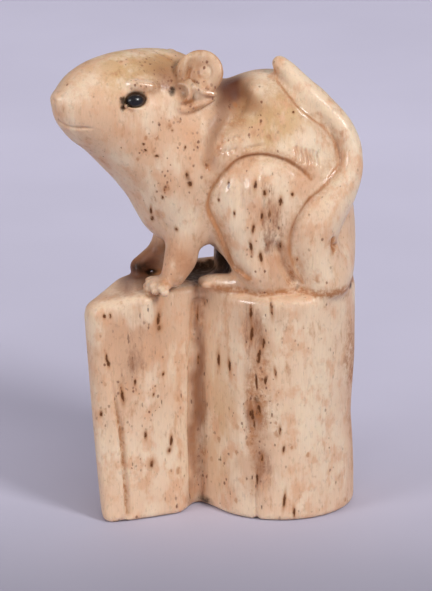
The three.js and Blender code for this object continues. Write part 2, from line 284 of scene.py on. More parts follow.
def smooth_run(stations, step=0.12):
    """Points every step along a smooth curve through the stations."""
    stations = np.asarray(stations, float)
    padded = np.vstack([stations[0], stations, stations[-1]])
    run = []
    for i in range(len(stations) - 1):
        before, start, end, after = padded[i:i + 4]
        count = max(int(np.linalg.norm(end - start) / step), 1)
        t = (np.arange(count) / count)[:, None]
        leave = (end - before) / 2
        arrive = (after - start) / 2
        bend = 3 * (end - start) - 2 * leave - arrive
        twist = 2 * (start - end) + leave + arrive
        run.append(start + t * (leave + t * (bend + t * twist)))
    run.append(stations[-1:])
    return np.vstack(run)


def ease(start, end, value):
    share = np.clip((value - start) / (end - start), 0, 1)
    return share * share * (3 - 2 * share)


class Line:
    """A smooth line laid on the surface, with its direction and the surface's normal."""

    def __init__(self, surface, stations):
        run = smooth_run(stations)
        found = [surface.find_nearest(Vector(point) * MM) for point in run]
        self.points = np.array([place for place, *_ in found]) / MM
        self.normals = np.array([normal for _, normal, *_ in found])
        for _ in range(6):
            middle = (self.normals[:-2] + self.normals[2:]) / 2
            self.normals[1:-1] = (self.normals[1:-1] + middle) / 2
        self.normals /= np.linalg.norm(self.normals, axis=1)[:, None]
        along = np.gradient(self.points, axis=0)
        for _ in range(3):
            along[1:-1] = (along[:-2] + 2 * along[1:-1] + along[2:]) / 4
        self.along = along / np.linalg.norm(along, axis=1)[:, None]
        self.across = np.cross(self.normals, self.along)
        steps = np.linalg.norm(np.diff(self.points, axis=0), axis=1)
        self.travel = np.concatenate([[0], np.cumsum(steps)])


class Clay:
    """The points of a mesh, in millimetres, and the strokes that move them."""

    def __init__(self, piece, surface):
        self.piece = piece
        self.surface = surface
        self.lift()

    def lift(self):
        mesh = self.piece.data
        self.points = np.empty(len(mesh.vertices) * 3, np.float32)
        mesh.vertices.foreach_get("co", self.points)
        self.points = self.points.reshape(-1, 3) / MM
        self.normals = np.empty(len(mesh.vertices) * 3, np.float32)
        mesh.vertex_normals.foreach_get("vector", self.normals)
        self.normals = self.normals.reshape(-1, 3)

    def press(self):
        """Writes the points back and takes the new normals."""
        self.piece.data.vertices.foreach_set("co", (self.points * MM).ravel())
        self.piece.data.update()
        self.lift()

    def line(self, stations):
        return Line(self.surface, stations)

    def beside(self, line, reach):
        """The points within reach of a line: which they are, how far to its left, how far
        off its ends, and how far along it they lie."""
        low = line.points.min(0) - reach
        high = line.points.max(0) + reach
        near = np.flatnonzero(((self.points > low) & (self.points < high)).all(1))
        picked, left, beyond, travel = [], [], [], []
        for chunk in np.array_split(near, max(len(near) // 8000, 1)):
            offset = self.points[chunk][:, None] - line.points[None]
            square = (offset ** 2).sum(2)
            nearest = square.argmin(1)
            rows = np.flatnonzero(square[np.arange(len(chunk)), nearest] < reach * reach)
            nearest = nearest[rows]
            offset = offset[rows, nearest]
            facing_same = (self.normals[chunk[rows]] * line.normals[nearest]).sum(1) > 0.1
            picked.append(chunk[rows][facing_same])
            left.append((offset * line.across[nearest]).sum(1)[facing_same])
            beyond.append(np.abs((offset * line.along[nearest]).sum(1))[facing_same])
            travel.append(line.travel[nearest][facing_same])
        return tuple(np.concatenate(part) for part in (picked, left, beyond, travel))

    def fade(self, line, travel, ends):
        """Nothing at a line's ends and all of it after the given lengths."""
        start, finish = ends
        total = line.travel[-1]
        share = np.ones(len(travel))
        if start:
            share = share * ease(0, start, travel)
        if finish:
            share = share * ease(0, finish, total - travel)
        return share

    def score(self, stations, width, depth, ends=(1, 1)):
        """Cuts a V along a line. A negative depth raises a ridge."""
        line = self.line(stations)
        picked, left, beyond, travel = self.beside(line, width)
        gap = np.hypot(left, np.maximum(beyond - 0.1, 0))
        share = np.clip(1 - 2 * gap / width, 0, 1)
        cut = depth * share * share * (3 - 2 * share) * self.fade(line, travel, ends)
        self.points[picked] -= self.normals[picked] * cut[:, None]

    def ledge(self, stations, rise, drop, width, edge=0.12, ends=(1.5, 1.5)):
        """Raises the left of a line and sinks its right, with a crisp edge between."""
        line = self.line(stations)
        picked, left, beyond, travel = self.beside(line, 3 * width)
        share = self.fade(line, travel, ends) * ease(1.0, 0.3, beyond)
        up = rise * np.exp(-((np.maximum(left, 0) / width) ** 2))
        down = drop * np.exp(-((np.minimum(left, 0) / width) ** 2))
        side = ease(-edge, edge, left)
        move = (up * side - down * (1 - side)) * share
        self.points[picked] += self.normals[picked] * move[:, None]

    def dome(self, place, radii, height, turn=0):
        """Raises a soft dome, or sinks a hollow where the height is negative. The turn is
        about Y, in degrees."""
        angle = math.radians(turn)
        radii = np.broadcast_to(np.asarray(radii, float), 3)
        near = np.flatnonzero((np.abs(self.points - place) < 1.6 * radii.max()).all(1))
        offset = self.points[near] - place
        along = offset[:, 0] * math.cos(angle) - offset[:, 2] * math.sin(angle)
        rise = offset[:, 0] * math.sin(angle) + offset[:, 2] * math.cos(angle)
        local = np.stack([along, offset[:, 1], rise], 1) / radii
        share = np.exp(-2 * (local ** 2).sum(1))
        self.points[near] += self.normals[near] * (height * share)[:, None]


def surface_of(piece):
    return BVHTree.FromObject(piece, bpy.context.evaluated_depsgraph_get())


# ---------------------------------------------------------------- the carving's parts


NEAR_EAR = (-2.05, -3.75, 46.95)
NEAR_EAR_FACING = (-0.2, -0.93, 0.35)
FAR_EAR = (-5.9, 3.6, 45.85)
FAR_EAR_FACING = (-0.65, 0.66, 0.38)

EAR_PROFILE = [
    (0, 0.06), (0.6, 0.05), (1.2, -0.03), (1.75, -0.02), (2.0, 0.08), (2.16, 0.17), (2.26, 0.2),
    (2.34, 0.15), (2.38, 0.0), (2.34, -0.25), (2.0, -0.65), (1.2, -0.85), (0, -0.9),
]
CUP_PROFILE = [
    (0, -0.35), (0.45, -0.3), (0.75, 0.0), (0.9, 0.42), (1.05, 0.62), (1.22, 0.55),
    (1.32, 0.2), (1.3, -0.3), (1.0, -0.8), (0, -1.0),
]


def ears():
    near = turned("near_ear", EAR_PROFILE)
    settle(near, facing(NEAR_EAR, NEAR_EAR_FACING))
    far = turned("far_ear", EAR_PROFILE)
    settle(far, facing(FAR_EAR, FAR_EAR_FACING) @ Matrix.Scale(0.82, 4))
    cup = turned("ear_cup", CUP_PROFILE)
    settle(cup, facing((-3.8, -4.75, 45.1), (-0.45, -0.85, 0.25)) @ Matrix.Scale(0.85, 4))
    helix = roll("helix", [
        (-3.0, -3.3, 48.7, 0.3), (-3.9, -3.4, 47.9, 0.5), (-4.15, -3.7, 46.9, 0.6),
        (-3.9, -4.1, 45.9, 0.45),
    ])
    fold = roll("ear_fold", [
        (-4.9, -4.9, 44.4, 0.34), (-4.4, -5.15, 43.6, 0.42), (-3.5, -5.1, 43.4, 0.46),
        (-2.5, -4.75, 43.8, 0.46), (-1.5, -4.4, 44.1, 0.42), (-0.6, -4.0, 44.4, 0.3),
    ])
    rim = roll("ear_rim", [
        (-3.3, -4.4, 46.5, 0.2), (-2.8, -4.7, 45.9, 0.28), (-2.3, -4.8, 45.4, 0.3),
        (-1.5, -4.8, 45.1, 0.3), (-0.5, -4.7, 44.85, 0.2),
    ])
    corner = roll("ear_corner", [
        (-1.5, -4.3, 45.6, 0.5), (-0.9, -4.4, 45.2, 0.42), (-0.4, -4.5, 44.8, 0.22),
    ])
    root = pebble("ear_root", (-2.4, -4.2, 44.8), (1.5, 0.75, 0.9), (0, -20, 0))
    return [near, far, cup, helix, fold, rim, corner, root]


def ring_on_ear(radius, centre=(0, 0), start=0, end=360):
    """Places along an arc on the near ear's face, its angles counted from the ear's right."""
    frame_of_ear = facing(NEAR_EAR, NEAR_EAR_FACING)
    places = []
    for i in range(13):
        angle = math.radians(start + (end - start) * i / 12)
        right = centre[0] + radius * math.cos(angle)
        up = centre[1] + radius * math.sin(angle)
        places.append(tuple(frame_of_ear @ (Vector((right, up, 0.2)) * MM) / MM))
    return places


EAR_BOSS = ring_on_ear(0.68, (0.42, 0.12))
EAR_CREASE = ring_on_ear(1.25, (0.1, -0.3), 130, 240)
EAR_EDGE = ring_on_ear(2.36, (0, 0), -80, 150)
EAR_HELIX = ring_on_ear(0, (-1.65, 0.3))[0]


HEAD_FORWARD = Vector((-0.9135, -0.4067, 0))
HEAD_SIDE = Vector((0.4067, -0.9135, 0))


def lids():
    """A thin roll of bone under each eye, from its front to its back corner."""
    rolls = []
    for node, side in (("near_eye", 1), ("far_eye", -1)):
        low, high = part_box(node)
        middle = (low + high) / 2 / MM
        stations = []
        for i in range(9):
            angle = math.radians(4 + 172 * i / 8)
            ahead = math.cos(angle) * (1.36 if math.cos(angle) > 0 else 1.1)
            down = Vector((0, 0, -0.83 * math.sin(angle)))
            out = side * (0.38 + 0.06 * math.sin(angle))
            place = middle + HEAD_FORWARD * ahead + down + HEAD_SIDE * out
            stations.append((*place, 0.2 - 0.05 * abs(math.cos(angle))))
        rolls.append(roll("lid", stations))
    return rolls


PAW_TURNS = (-74, -48, -24, 0, 24)
TOE_RADII = (0.55, 0.46, 0.42)
KNUCKLE_RADII = (0.7, 0.44, 0.42)
FOOT_TOE_RADII = (0.75, 0.42, 0.45)


def toes():
    """Five round toes under the near paw, and three on the near foot."""
    beads = []
    wrist = np.array((-5.0, -4.4, 25.1))
    for turn in PAW_TURNS:
        angle = math.radians(turn)
        out = np.array((-math.cos(angle), math.sin(angle), 0))
        tip = wrist + 2.45 * out + (0, 0, -0.58)
        knuckle = wrist + 1.6 * out + (0, 0, -0.1)
        beads.append(pebble("toe", tip, TOE_RADII, (0, 0, -turn)))
        beads.append(pebble("knuckle", knuckle, KNUCKLE_RADII, (0, 0, -turn)))
    for i in range(3):
        place = (-1.3 - 0.1 * i, -3.9 + 0.75 * i, 24.5)
        beads.append(pebble("foot_toe", place, FOOT_TOE_RADII, (0, 0, -15)))
    return beads


HAUNCH = [
    (3.4, -6.7, 25.8), (2.6, -6.1, 26.6), (1.8, -5.3, 27.4), (0.9, -5.5, 28.8),
    (0.1, -5.8, 30.2), (-0.6, -5.7, 31.6), (-1.3, -5.6, 33.2), (-1.2, -5.9, 34.6),
    (-0.5, -5.9, 36.0), (0.5, -5.6, 37.3), (2.0, -5.8, 38.5), (3.6, -5.7, 38.9),
    (5.2, -5.6, 38.8), (6.8, -5.7, 38.3), (8.2, -5.6, 37.3), (9.3, -5.4, 35.9),
]
TAIL_EDGE = [
    (5.0, -1.2, 46.9), (6.3, -2.5, 44.9), (7.7, -3.4, 43.3), (9.2, -3.5, 42.0),
    (10.8, -3.2, 40.8), (11.8, -3.1, 39.2), (12.0, -3.8, 37.6), (10.7, -5.1, 35.6),
    (8.7, -6.4, 34.0), (7.5, -6.8, 31.9), (7.0, -6.6, 29.6), (7.4, -6.2, 27.4),
    (8.6, -6.1, 25.0),
]
TAIL_MIDDLE = [
    (10.4, -3.9, 25.0), (9.5, -4.6, 29.2), (11.9, -4.2, 34.2), (13.35, -3.4, 37.9),
    (12.15, -2.6, 41.1), (9.2, -1.9, 43.9), (6.0, -0.8, 47.2),
]
NICK = (
    [(11.5, -6.2, 30.5), (11.45, -6.2, 29.4), (11.9, -5.8, 28.4)],
    [(11.5, -6.2, 29.3), (12.0, -5.8, 29.3), (12.6, -5.2, 29.0)],
)
CROWN_FOLD = [
    (-4.6, -1.9, 47.7), (-5.1, -1.9, 48.0), (-5.7, -1.8, 48.1), (-6.2, -1.6, 48.3),
    (-6.6, -1.2, 48.5), (-6.9, -0.7, 48.5),
]
FAR_HAUNCH = [(x, -y, z) for x, y, z in reversed(HAUNCH[3:14])]
TEAR = [(-9.6, -6.4, 45.3), (-9.7, -6.5, 44.7), (-9.85, -6.7, 44.0)]
SHOULDER = [
    (2.3, -2.6, 44.9), (1.7, -4.0, 43.4), (0.8, -5.0, 42.0), (0.0, -5.7, 40.8),
    (-0.6, -6.1, 39.6), (-1.1, -6.2, 38.2), (-1.3, -6.1, 36.6),
]
KNEE_CLEFT = [(1.9, -6.3, 37.2), (2.0, -6.9, 35.3), (2.1, -7.2, 33.0)]
KNEE_EDGE = [(4.1, -6.3, 37.6), (4.2, -7.1, 35.5), (4.25, -7.3, 33.0), (4.2, -7.3, 31.2)]
HOCK = [(5.6, -7.0, 30.4), (6.1, -6.7, 28.6), (6.6, -6.4, 27.0), (7.7, -6.0, 25.0)]
HEEL = [(4.9, -7.0, 29.4), (5.2, -6.9, 27.4), (5.3, -6.6, 25.4)]
MOUTH = [
    (-16.6, -5.2, 42.3), (-15.7, -5.7, 41.9), (-14.7, -6.2, 41.8), (-13.6, -6.5, 41.9),
    (-12.5, -6.7, 41.9),
]
SPLIT_LIP = [(-17.1, -5.2, 44.1), (-16.8, -5.3, 43.5), (-16.6, -5.3, 42.6)]
BROW = [
    (-9.7, -6.0, 46.2), (-8.9, -5.9, 46.45), (-7.9, -5.7, 46.25), (-6.9, -5.5, 46.05),
    (-5.9, -5.2, 45.85),
]
ARMPIT_FOLD = [(-1.9, -6.2, 34.4), (-2.3, -6.2, 32.6), (-2.2, -6.0, 31.0)]
CHEST_FOLD = [(-6.7, -5.0, 33.2), (-6.2, -5.3, 31.4), (-5.6, -5.4, 30.2)]
STRIP = [
    (-10.0, -6.6, 0.1), (-10.15, -6.5, 3), (-10.4, -6.4, 6), (-10.8, -6.2, 10),
    (-11.2, -6.0, 14), (-11.6, -5.8, 18),
]
GROOVE = [(-2.5, -3.4, 1.0), (-2.5, -3.6, 12.0), (-2.3, -3.4, 22.6)]
CRACK = [(3.6, -7.4, 6.6), (3.65, -7.4, 4.4), (3.5, -7.4, 2.2), (3.7, -7.4, 0.1)]


def carve_lines(clay, depth):
    """The lines that can be felt with a finger."""
    clay.ledge(HAUNCH, 0.9 * depth, 0.8 * depth, 0.9, ends=(1, 2))
    clay.ledge(TAIL_EDGE, -0.9 * depth, -0.6 * depth, 0.8, ends=(2, 1.5))
    clay.press()
    clay.score(SHOULDER, 1.8, 0.9 * depth, ends=(1.5, 1.5))
    clay.dome((1.9, -3.4, 44.3), (1.3, 2.0, 1.8), -0.5)
    # the two folds of the knee, and the flat behind them
    clay.dome((0.7, -6.5, 35.2), (1.0, 2, 1.8), 0.16, turn=20)
    clay.dome((3.2, -6.9, 35.2), (1.1, 2, 3.0), 0.2)
    clay.press()
    clay.score(KNEE_CLEFT, 1.0, 0.14)
    clay.ledge(KNEE_EDGE, -0.16, -0.2, 0.8, edge=0.2, ends=(1.2, 2))
    # the hock, and the sunk strip between it and the tail
    clay.score(HOCK, 1.6, 0.6, ends=(1.5, 0.3))
    clay.score(HEEL, 0.9, 0.16)
    clay.press()
    # the mouth, the nostril and the split below it
    clay.score(MOUTH, 0.55, 0.2, ends=(0.3, 1.5))
    clay.dome((-16.95, -5.2, 44.4), (0.3, 0.5, 0.35), -0.28)
    clay.score(SPLIT_LIP, 0.5, 0.14, ends=(0.2, 0.4))
    # the corner of the eye, the brow and the temple
    clay.dome((-9.65, -6.7, 44.1), (0.4, 0.7, 0.4), -0.5, turn=-35)
    clay.score(BROW, 1.5, -0.42, ends=(0.8, 1.2))
    clay.dome((-6.6, -5.5, 44.9), (0.8, 1.5, 0.9), -0.2)
    # the boss, the helix, the crease and the opening of the near ear
    clay.score(EAR_BOSS, 0.5, 0.12, ends=(0, 0))
    clay.dome(EAR_HELIX, (0.7, 0.9, 1.3), 0.24)
    clay.score(EAR_CREASE, 0.6, 0.26, ends=(0.6, 0.2))
    clay.dome((-4.85, -4.8, 45.3), (0.7, 0.9, 0.9), -0.25)
    clay.ledge(CROWN_FOLD, 0.10, 0.26, 0.5, edge=0.1, ends=(0.6, 0.6))
    # the far side's haunch, plainer than the near one
    clay.ledge(FAR_HAUNCH, 0.9 * depth, 0.9 * depth, 0.9, edge=0.2, ends=(2, 2))
    # the nick in the tail's root
    for stations in NICK:
        clay.score(stations, 0.7, 0.3, ends=(0.4, 0.5))
    # folds between the shoulder, the chest and the foreleg
    clay.score(ARMPIT_FOLD, 1.2, 0.12)
    clay.score(CHEST_FOLD, 1.0, 0.12)
    clay.press()


# first stroke's start, its direction, the step to the next stroke, strokes, length
FUR_PATCHES = [
    ((-0.4, -5.9, 38.7), (0.5, 0.1, 0.86), (0.56, 0.05, 0.1), 4, 1.0),
    ((0.0, -5.7, 40.0), (0.5, 0.3, 0.86), (0.56, 0.05, 0.1), 4, 0.8),
    ((2.4, -5.6, 39.2), (0.5, 0, 0.86), (0.34, 0, 0.05), 6, 0.8),
    ((7.6, -5.0, 39.7), (0.05, 0, -1), (0.5, 0, -0.12), 6, 1.9),
]


def cut_fur(clay, depth):
    for start, direction, step, count, length in FUR_PATCHES:
        for i in range(count):
            begin = np.array(start) + i * np.array(step)
            end = begin + length * np.array(direction)
            clay.score([begin, (begin + end) / 2, end], 0.46, depth, ends=(0.3, 0.5))


def carve_block(clay):
    """The strip, the groove, a crack and the hollows along the block's dark streak."""
    clay.ledge(STRIP, 0.32, 0.4, 0.8, edge=0.08, ends=(0, 9))
    clay.score(GROOVE, 1.3, 0.35)
    clay.score(CRACK, 0.4, 0.14, ends=(2, 0))
    clay.dome((3.75, -7.3, 0.1), (0.35, 1, 0.4), -0.3)
    for place in ((2.5, -7.0, 20.6), (2.4, -7.0, 15.0), (2.4, -7.0, 10.5)):
        clay.dome(place, (0.6, 1.5, 3.2), -0.12)


def melt(piece, passes):
    """Smooths away the flats of the rough form."""
    for _ in range(2):
        apply_modifier(piece, "SMOOTH", factor=0.5, iterations=passes // 2)


# ---------------------------------------------------------------- colour laid in


def spread(mesh, values, passes):
    """Averages a value over neighbouring points."""
    ends = np.empty(len(mesh.edges) * 2, np.int32)
    mesh.edges.foreach_get("vertices", ends)
    first, second = ends.reshape(-1, 2).T
    count = np.bincount(ends, minlength=len(values)).astype(float)
    for _ in range(passes):
        total = np.bincount(first, values[second], len(values))
        total += np.bincount(second, values[first], len(values))
        values = 0.5 * values + 0.5 * total / np.maximum(count, 1)
    return values


def hollowness(clay, passes):
    """How far each point lies below the mean of its surroundings, in millimetres."""
    mesh = clay.piece.data
    axes = clay.points.T.astype(float)
    mean = np.stack([spread(mesh, values, passes) for values in axes], 1)
    return ((mean - clay.points) * clay.normals).sum(1)


def shelter(rough, points, rays=20, clearance=0.15 * MM, reach=6 * MM):
    """How much of the sky each point is shut off from, found on the rough form."""
    surface = surface_of(rough)
    generator = np.random.default_rng(5)
    directions = generator.normal(size=(rays, 3))
    directions /= np.linalg.norm(directions, axis=1)[:, None]
    tree = KDTree(len(rough.data.vertices))
    shut = np.zeros(len(rough.data.vertices))
    for i, vertex in enumerate(rough.data.vertices):
        tree.insert(vertex.co, i)
        start = vertex.co + vertex.normal * clearance
        for direction in directions:
            ray = Vector(direction)
            if ray.dot(vertex.normal) < 0:
                ray = -ray
            shut[i] += surface.ray_cast(start, ray, reach)[0] is not None
    tree.balance()
    shut /= rays
    result = np.empty(len(points))
    for i, point in enumerate(points):
        found = tree.find_n(Vector(point) * MM, 3)
        weights = [1 / (gap + 0.1 * MM) for _, _, gap in found]
        result[i] = sum(w * shut[j] for w, (_, j, _) in zip(weights, found)) / sum(weights)
    return result


def give(mesh, name, values):
    layer = mesh.attributes.get(name) or mesh.attributes.new(name, "FLOAT", "POINT")
    layer.data.foreach_set("value", np.clip(values, 0, 1).astype(np.float32))


def along_line(clay, line, width, ends=(0.5, 0.5)):
    """One on a line, nothing beyond its width."""
    picked, left, beyond, travel = clay.beside(line, width)
    gap = np.hypot(left, np.maximum(beyond - 0.1, 0))
    values = np.zeros(len(clay.points))
    values[picked] = np.exp(-4 * (gap / width) ** 2) * clay.fade(line, travel, ends)
    return values


def around(points, place, radii, strength=1.0):
    """The strength at a place, fading softly to nothing at about its radii."""
    local = (points - place) / np.asarray(radii, float)
    return strength * np.exp(-2 * (local ** 2).sum(1))


def lumps(points, rows):
    """The strongest of several soft lumps, each a place, its radii and its strength."""
    return np.maximum.reduce([around(points, *row) for row in rows])


# place, radii, tone, strength: the bone's broad colours, laid over one another in this order;
# some rows, marked below, are painted shade
WASHES = [
    ((-13.0, -4.0, 44.5), (4.0, 5.0, 3.6), "peach", 0.5),
    ((-8.0, -2.4, 47.7), (5.4, 5.0, 2.6), "honey", 1.5),
    ((-7.0, -3.6, 47.2), (3.4, 3.0, 2.0), "umber", 0.25),
    ((-5.4, -4.6, 46.7), (1.5, 2.0, 1.5), "umber", 0.5),
    ((-4.2, -3.0, 47.6), (2.4, 4.0, 1.5), "umber", 0.35),
    ((-6.6, 2.5, 47.6), (1.6, 3.0, 1.2), "umber", 0.4),
    ((-8.5, -5.5, 41.5), (3.6, 4.0, 2.6), "peach", 0.7),
    ((-3.0, -5.5, 41.5), (3.4, 4.0, 3.0), "peach", 0.8),
    ((0.2, -5.5, 39.5), (2.6, 4.0, 3.4), "umber", 0.14),
    ((-6.0, -5.5, 36.0), (4.0, 4.0, 3.6), "peach", 0.75),
    ((-4.3, -5.8, 31.8), (1.8, 3.0, 2.4), "cream", 0.7),
    ((-6.2, -5.8, 33.4), (2.0, 3.0, 2.4), "cream", 0.5),
    ((-4.2, -5.4, 27.4), (2.4, 3.0, 3.4), "peach", 1.2),
    ((-3.6, -5.4, 28.0), (2.0, 3.0, 3.0), "umber", 0.25),
    ((-5.6, -5.2, 25.2), (2.2, 2.4, 1.2), "umber", 0.25),
    ((6.0, -4.0, 42.6), (5.6, 5.0, 3.6), "honey", 1.3),
    ((4.4, -3.0, 44.4), (3.0, 4.0, 2.0), "umber", 0.22),
    ((9.6, -4.6, 38.6), (2.0, 3.0, 2.2), "cream", 1.1),
    ((7.0, -5.5, 36.4), (3.0, 3.0, 1.8), "peach", 0.8),
    ((1.2, -6.0, 33.5), (2.6, 3.0, 3.4), "cream", 0.7),
    ((5.4, -6.5, 31.0), (2.6, 3.0, 5.6), "peach", 1.1),
    ((5.8, -6.6, 33.0), (1.8, 3.0, 4.5), "umber", 0.28),
    ((-2.2, -4.0, 47.0), (2.6, 1.6, 2.6), "umber", 0.42),
    ((-5.0, -5.2, 45.8), (1.6, 1.8, 1.6), "umber", 0.25),
    ((5.6, -6.5, 27.0), (2.6, 3.0, 2.4), "umber", 0.16),
    # painted shade in the hollow behind the near ear, with its dark brown stain
    ((1.2, -2.6, 44.0), (2.0, 2.6, 2.2), "umber", 1.2),
    ((2.3, -3.0, 44.8), (2.0, 2.6, 1.3), "umber", 0.7),
    ((0.9, -2.2, 44.4), (1.6, 2.6, 2.0), "soot", 1.1),
    ((1.3, -2.3, 44.2), (0.8, 2.0, 1.4), "soot", 1.2),
    ((0.4, -3.8, 42.8), (1.2, 2.2, 1.6), "soot", 0.5),
    ((-0.6, -5.9, 38.6), (1.0, 2.0, 2.4), "umber", 0.5),
    ((0.2, -5.0, 41.6), (1.7, 2.6, 1.8), "umber", 0.5),
    ((-3.4, -4.6, 46.0), (2.4, 2.0, 2.4), "umber", 0.22),
    ((-8.0, 1.2, 25.6), (2.8, 2.2, 2.4), "umber", 1.2),
    ((-8.4, 0.8, 25.2), (2.4, 1.8, 1.6), "soot", 1.2),
    ((-5.9, 1.8, 28.6), (1.6, 2.0, 1.8), "peach", 0.6),
    # painted shade under the belly, between the far legs
    ((-1.2, 1.0, 25.0), (3.6, 3.0, 2.2), "smoke", 0.9),
    ((-9.4, -3.0, 24.0), (6.4, 4.0, 1.3), "umber", 0.85),
    ((-10.0, -6.5, 20.5), (4.0, 4.0, 4.0), "peach", 0.7),
    ((-8.4, -1.0, 24.2), (4.0, 3.0, 1.3), "smoke", 0.7),
    ((-8.6, -6.0, 20.6), (4.6, 4.0, 3.2), "smoke", 0.25),
    # painted shade down the groove between the lobes, with its brown stain
    ((-2.6, -3.0, 12.0), (0.9, 3.0, 18.0), "umber", 0.9),
    ((-7.0, -6.6, 16.0), (4.2, 4.0, 4.0), "peach", 0.85),
    ((-9.0, -6.8, 16.4), (1.0, 3.0, 2.4), "smoke", 0.35),
    ((-7.0, -6.6, 7.0), (4.6, 4.0, 5.0), "cream", 0.75),
    ((-0.2, -5.0, 10.0), (2.0, 4.0, 8.0), "honey", 0.5),
    ((1.3, -6.4, 17.0), (2.2, 4.0, 5.0), "cream", 0.6),
    ((3.7, -7.0, 20.6), (1.4, 4.0, 4.2), "umber", 0.42),
    ((3.4, -7.2, 11.3), (1.0, 4.0, 1.7), "smoke", 0.75),
    ((4.4, -7.2, 6.5), (1.1, 4.0, 5.0), "umber", 0.5),
    ((6.2, -7.2, 22.0), (2.4, 4.0, 2.4), "umber", 0.24),
    ((2.0, -6.6, 4.0), (2.4, 4.0, 3.4), "umber", 0.16),
    ((10.2, -5.2, 13.0), (3.6, 6.0, 12.0), "cream", 1.0),
    ((13.6, 0.0, 12.0), (1.6, 6.0, 14.0), "peach", 0.7),
]

# place, radii, strength of the orange-brown stain
STAINED = [
    ((-3.8, -5.0, 45.1), (1.2, 1.5, 1.2), 1.1),
    ((-3.9, -5.6, 28.0), (2.0, 2.0, 3.0), 0.35),
    ((-3.3, -5.4, 24.8), (2.4, 2.0, 0.9), 0.6),
    ((-6.2, -5.6, 24.6), (2.2, 1.6, 0.8), 0.7),
    ((-2.8, -5.0, 44.4), (2.6, 1.5, 1.0), 0.6),
    ((2.2, -3.6, 44.6), (1.2, 2.5, 1.6), 0.8),
    ((1.6, -5.0, 41.6), (1.0, 2.0, 1.3), 0.75),
    ((0.4, -5.6, 40.2), (1.0, 2.0, 1.6), 0.4),
    ((-1.2, -6.0, 38.0), (0.8, 2.0, 2.0), 0.7),
    ((7.5, -6.2, 26.0), (1.1, 1.5, 2.4), 0.9),
    ((-7.8, 1.0, 25.6), (2.2, 1.6, 1.6), 1.0),
    ((-6.6, -5.0, 31.6), (0.6, 2.0, 1.3), 0.7),
    ((13.0, -3.5, 24.2), (1.5, 3.0, 0.8), 0.7),
    ((-6.9, -5.6, 44.8), (1.0, 1.4, 1.0), 0.5),
    ((-11.0, -5.6, 44.6), (0.5, 1.4, 0.9), 0.5),
    ((-5.6, -6.4, 41.6), (0.9, 1.4, 0.9), 0.5),
    ((11.7, -6.0, 29.2), (0.8, 1.4, 1.2), 0.5),
    ((-8.7, -6.2, 44.7), (1.5, 1.3, 1.2), 0.5),
    ((-3.0, -4.2, 47.2), (2.4, 1.6, 2.6), 0.35),
    ((3.8, -7.2, 12.0), (1.4, 3.0, 13.0), 0.72),
    ((-2.4, -3.0, 9.0), (0.9, 3.0, 13.0), 0.45),
    ((-1.9, -3.0, 21.0), (0.7, 3.0, 3.4), 0.7),
    ((13.5, -2.6, 14.0), (0.8, 4.0, 12.0), 0.95),
]
# place, radii, strength of dark spots: dirt, with painted shade in the rows marked
DIRT_AND_SHADE_SPOTS = [
    ((-8.4, 0.4, 25.0), (1.6, 1.3, 1.0), 0.9),
    # painted shade under the belly, between the far legs
    ((0.3, 0.8, 25.8), (2.4, 2.6, 2.4), 1.1),
    # dirt and painted shade in the deep hole of the near ear
    ((-4.9, -5.0, 45.35), (0.42, 0.9, 0.62), 1.6),
    ((-3.75, -5.0, 44.95), (0.75, 1.2, 0.85), 0.5),
    ((-2.75, -5.0, 44.8), (0.2, 1.0, 0.6), 0.8),
    # painted shade, with brown stain, in the hollow behind the near ear
    ((1.4, -3.5, 44.4), (0.5, 1.6, 0.8), 0.5),
    ((-9.9, -6.7, 44.0), (0.4, 0.8, 0.4), 1.2),
    ((-2.85, -5.0, 46.0), (0.25, 0.6, 0.25), 0.9),
    ((13.4, -2.6, 24.0), (0.5, 1.2, 0.5), 1.0),
    ((7.9, -6.0, 25.0), (0.5, 1.0, 0.8), 0.6),
    ((-3.3, -6.4, 36.6), (0.45, 1.0, 0.8), 0.6),
    ((-2.4, -3.2, 24.3), (1.2, 1.2, 0.5), 0.6),
    ((-1.4, -2.6, 0.6), (1.5, 2.0, 0.8), 0.8),
    ((3.7, -7.5, 13.2), (0.5, 2.0, 0.7), 0.7),
]

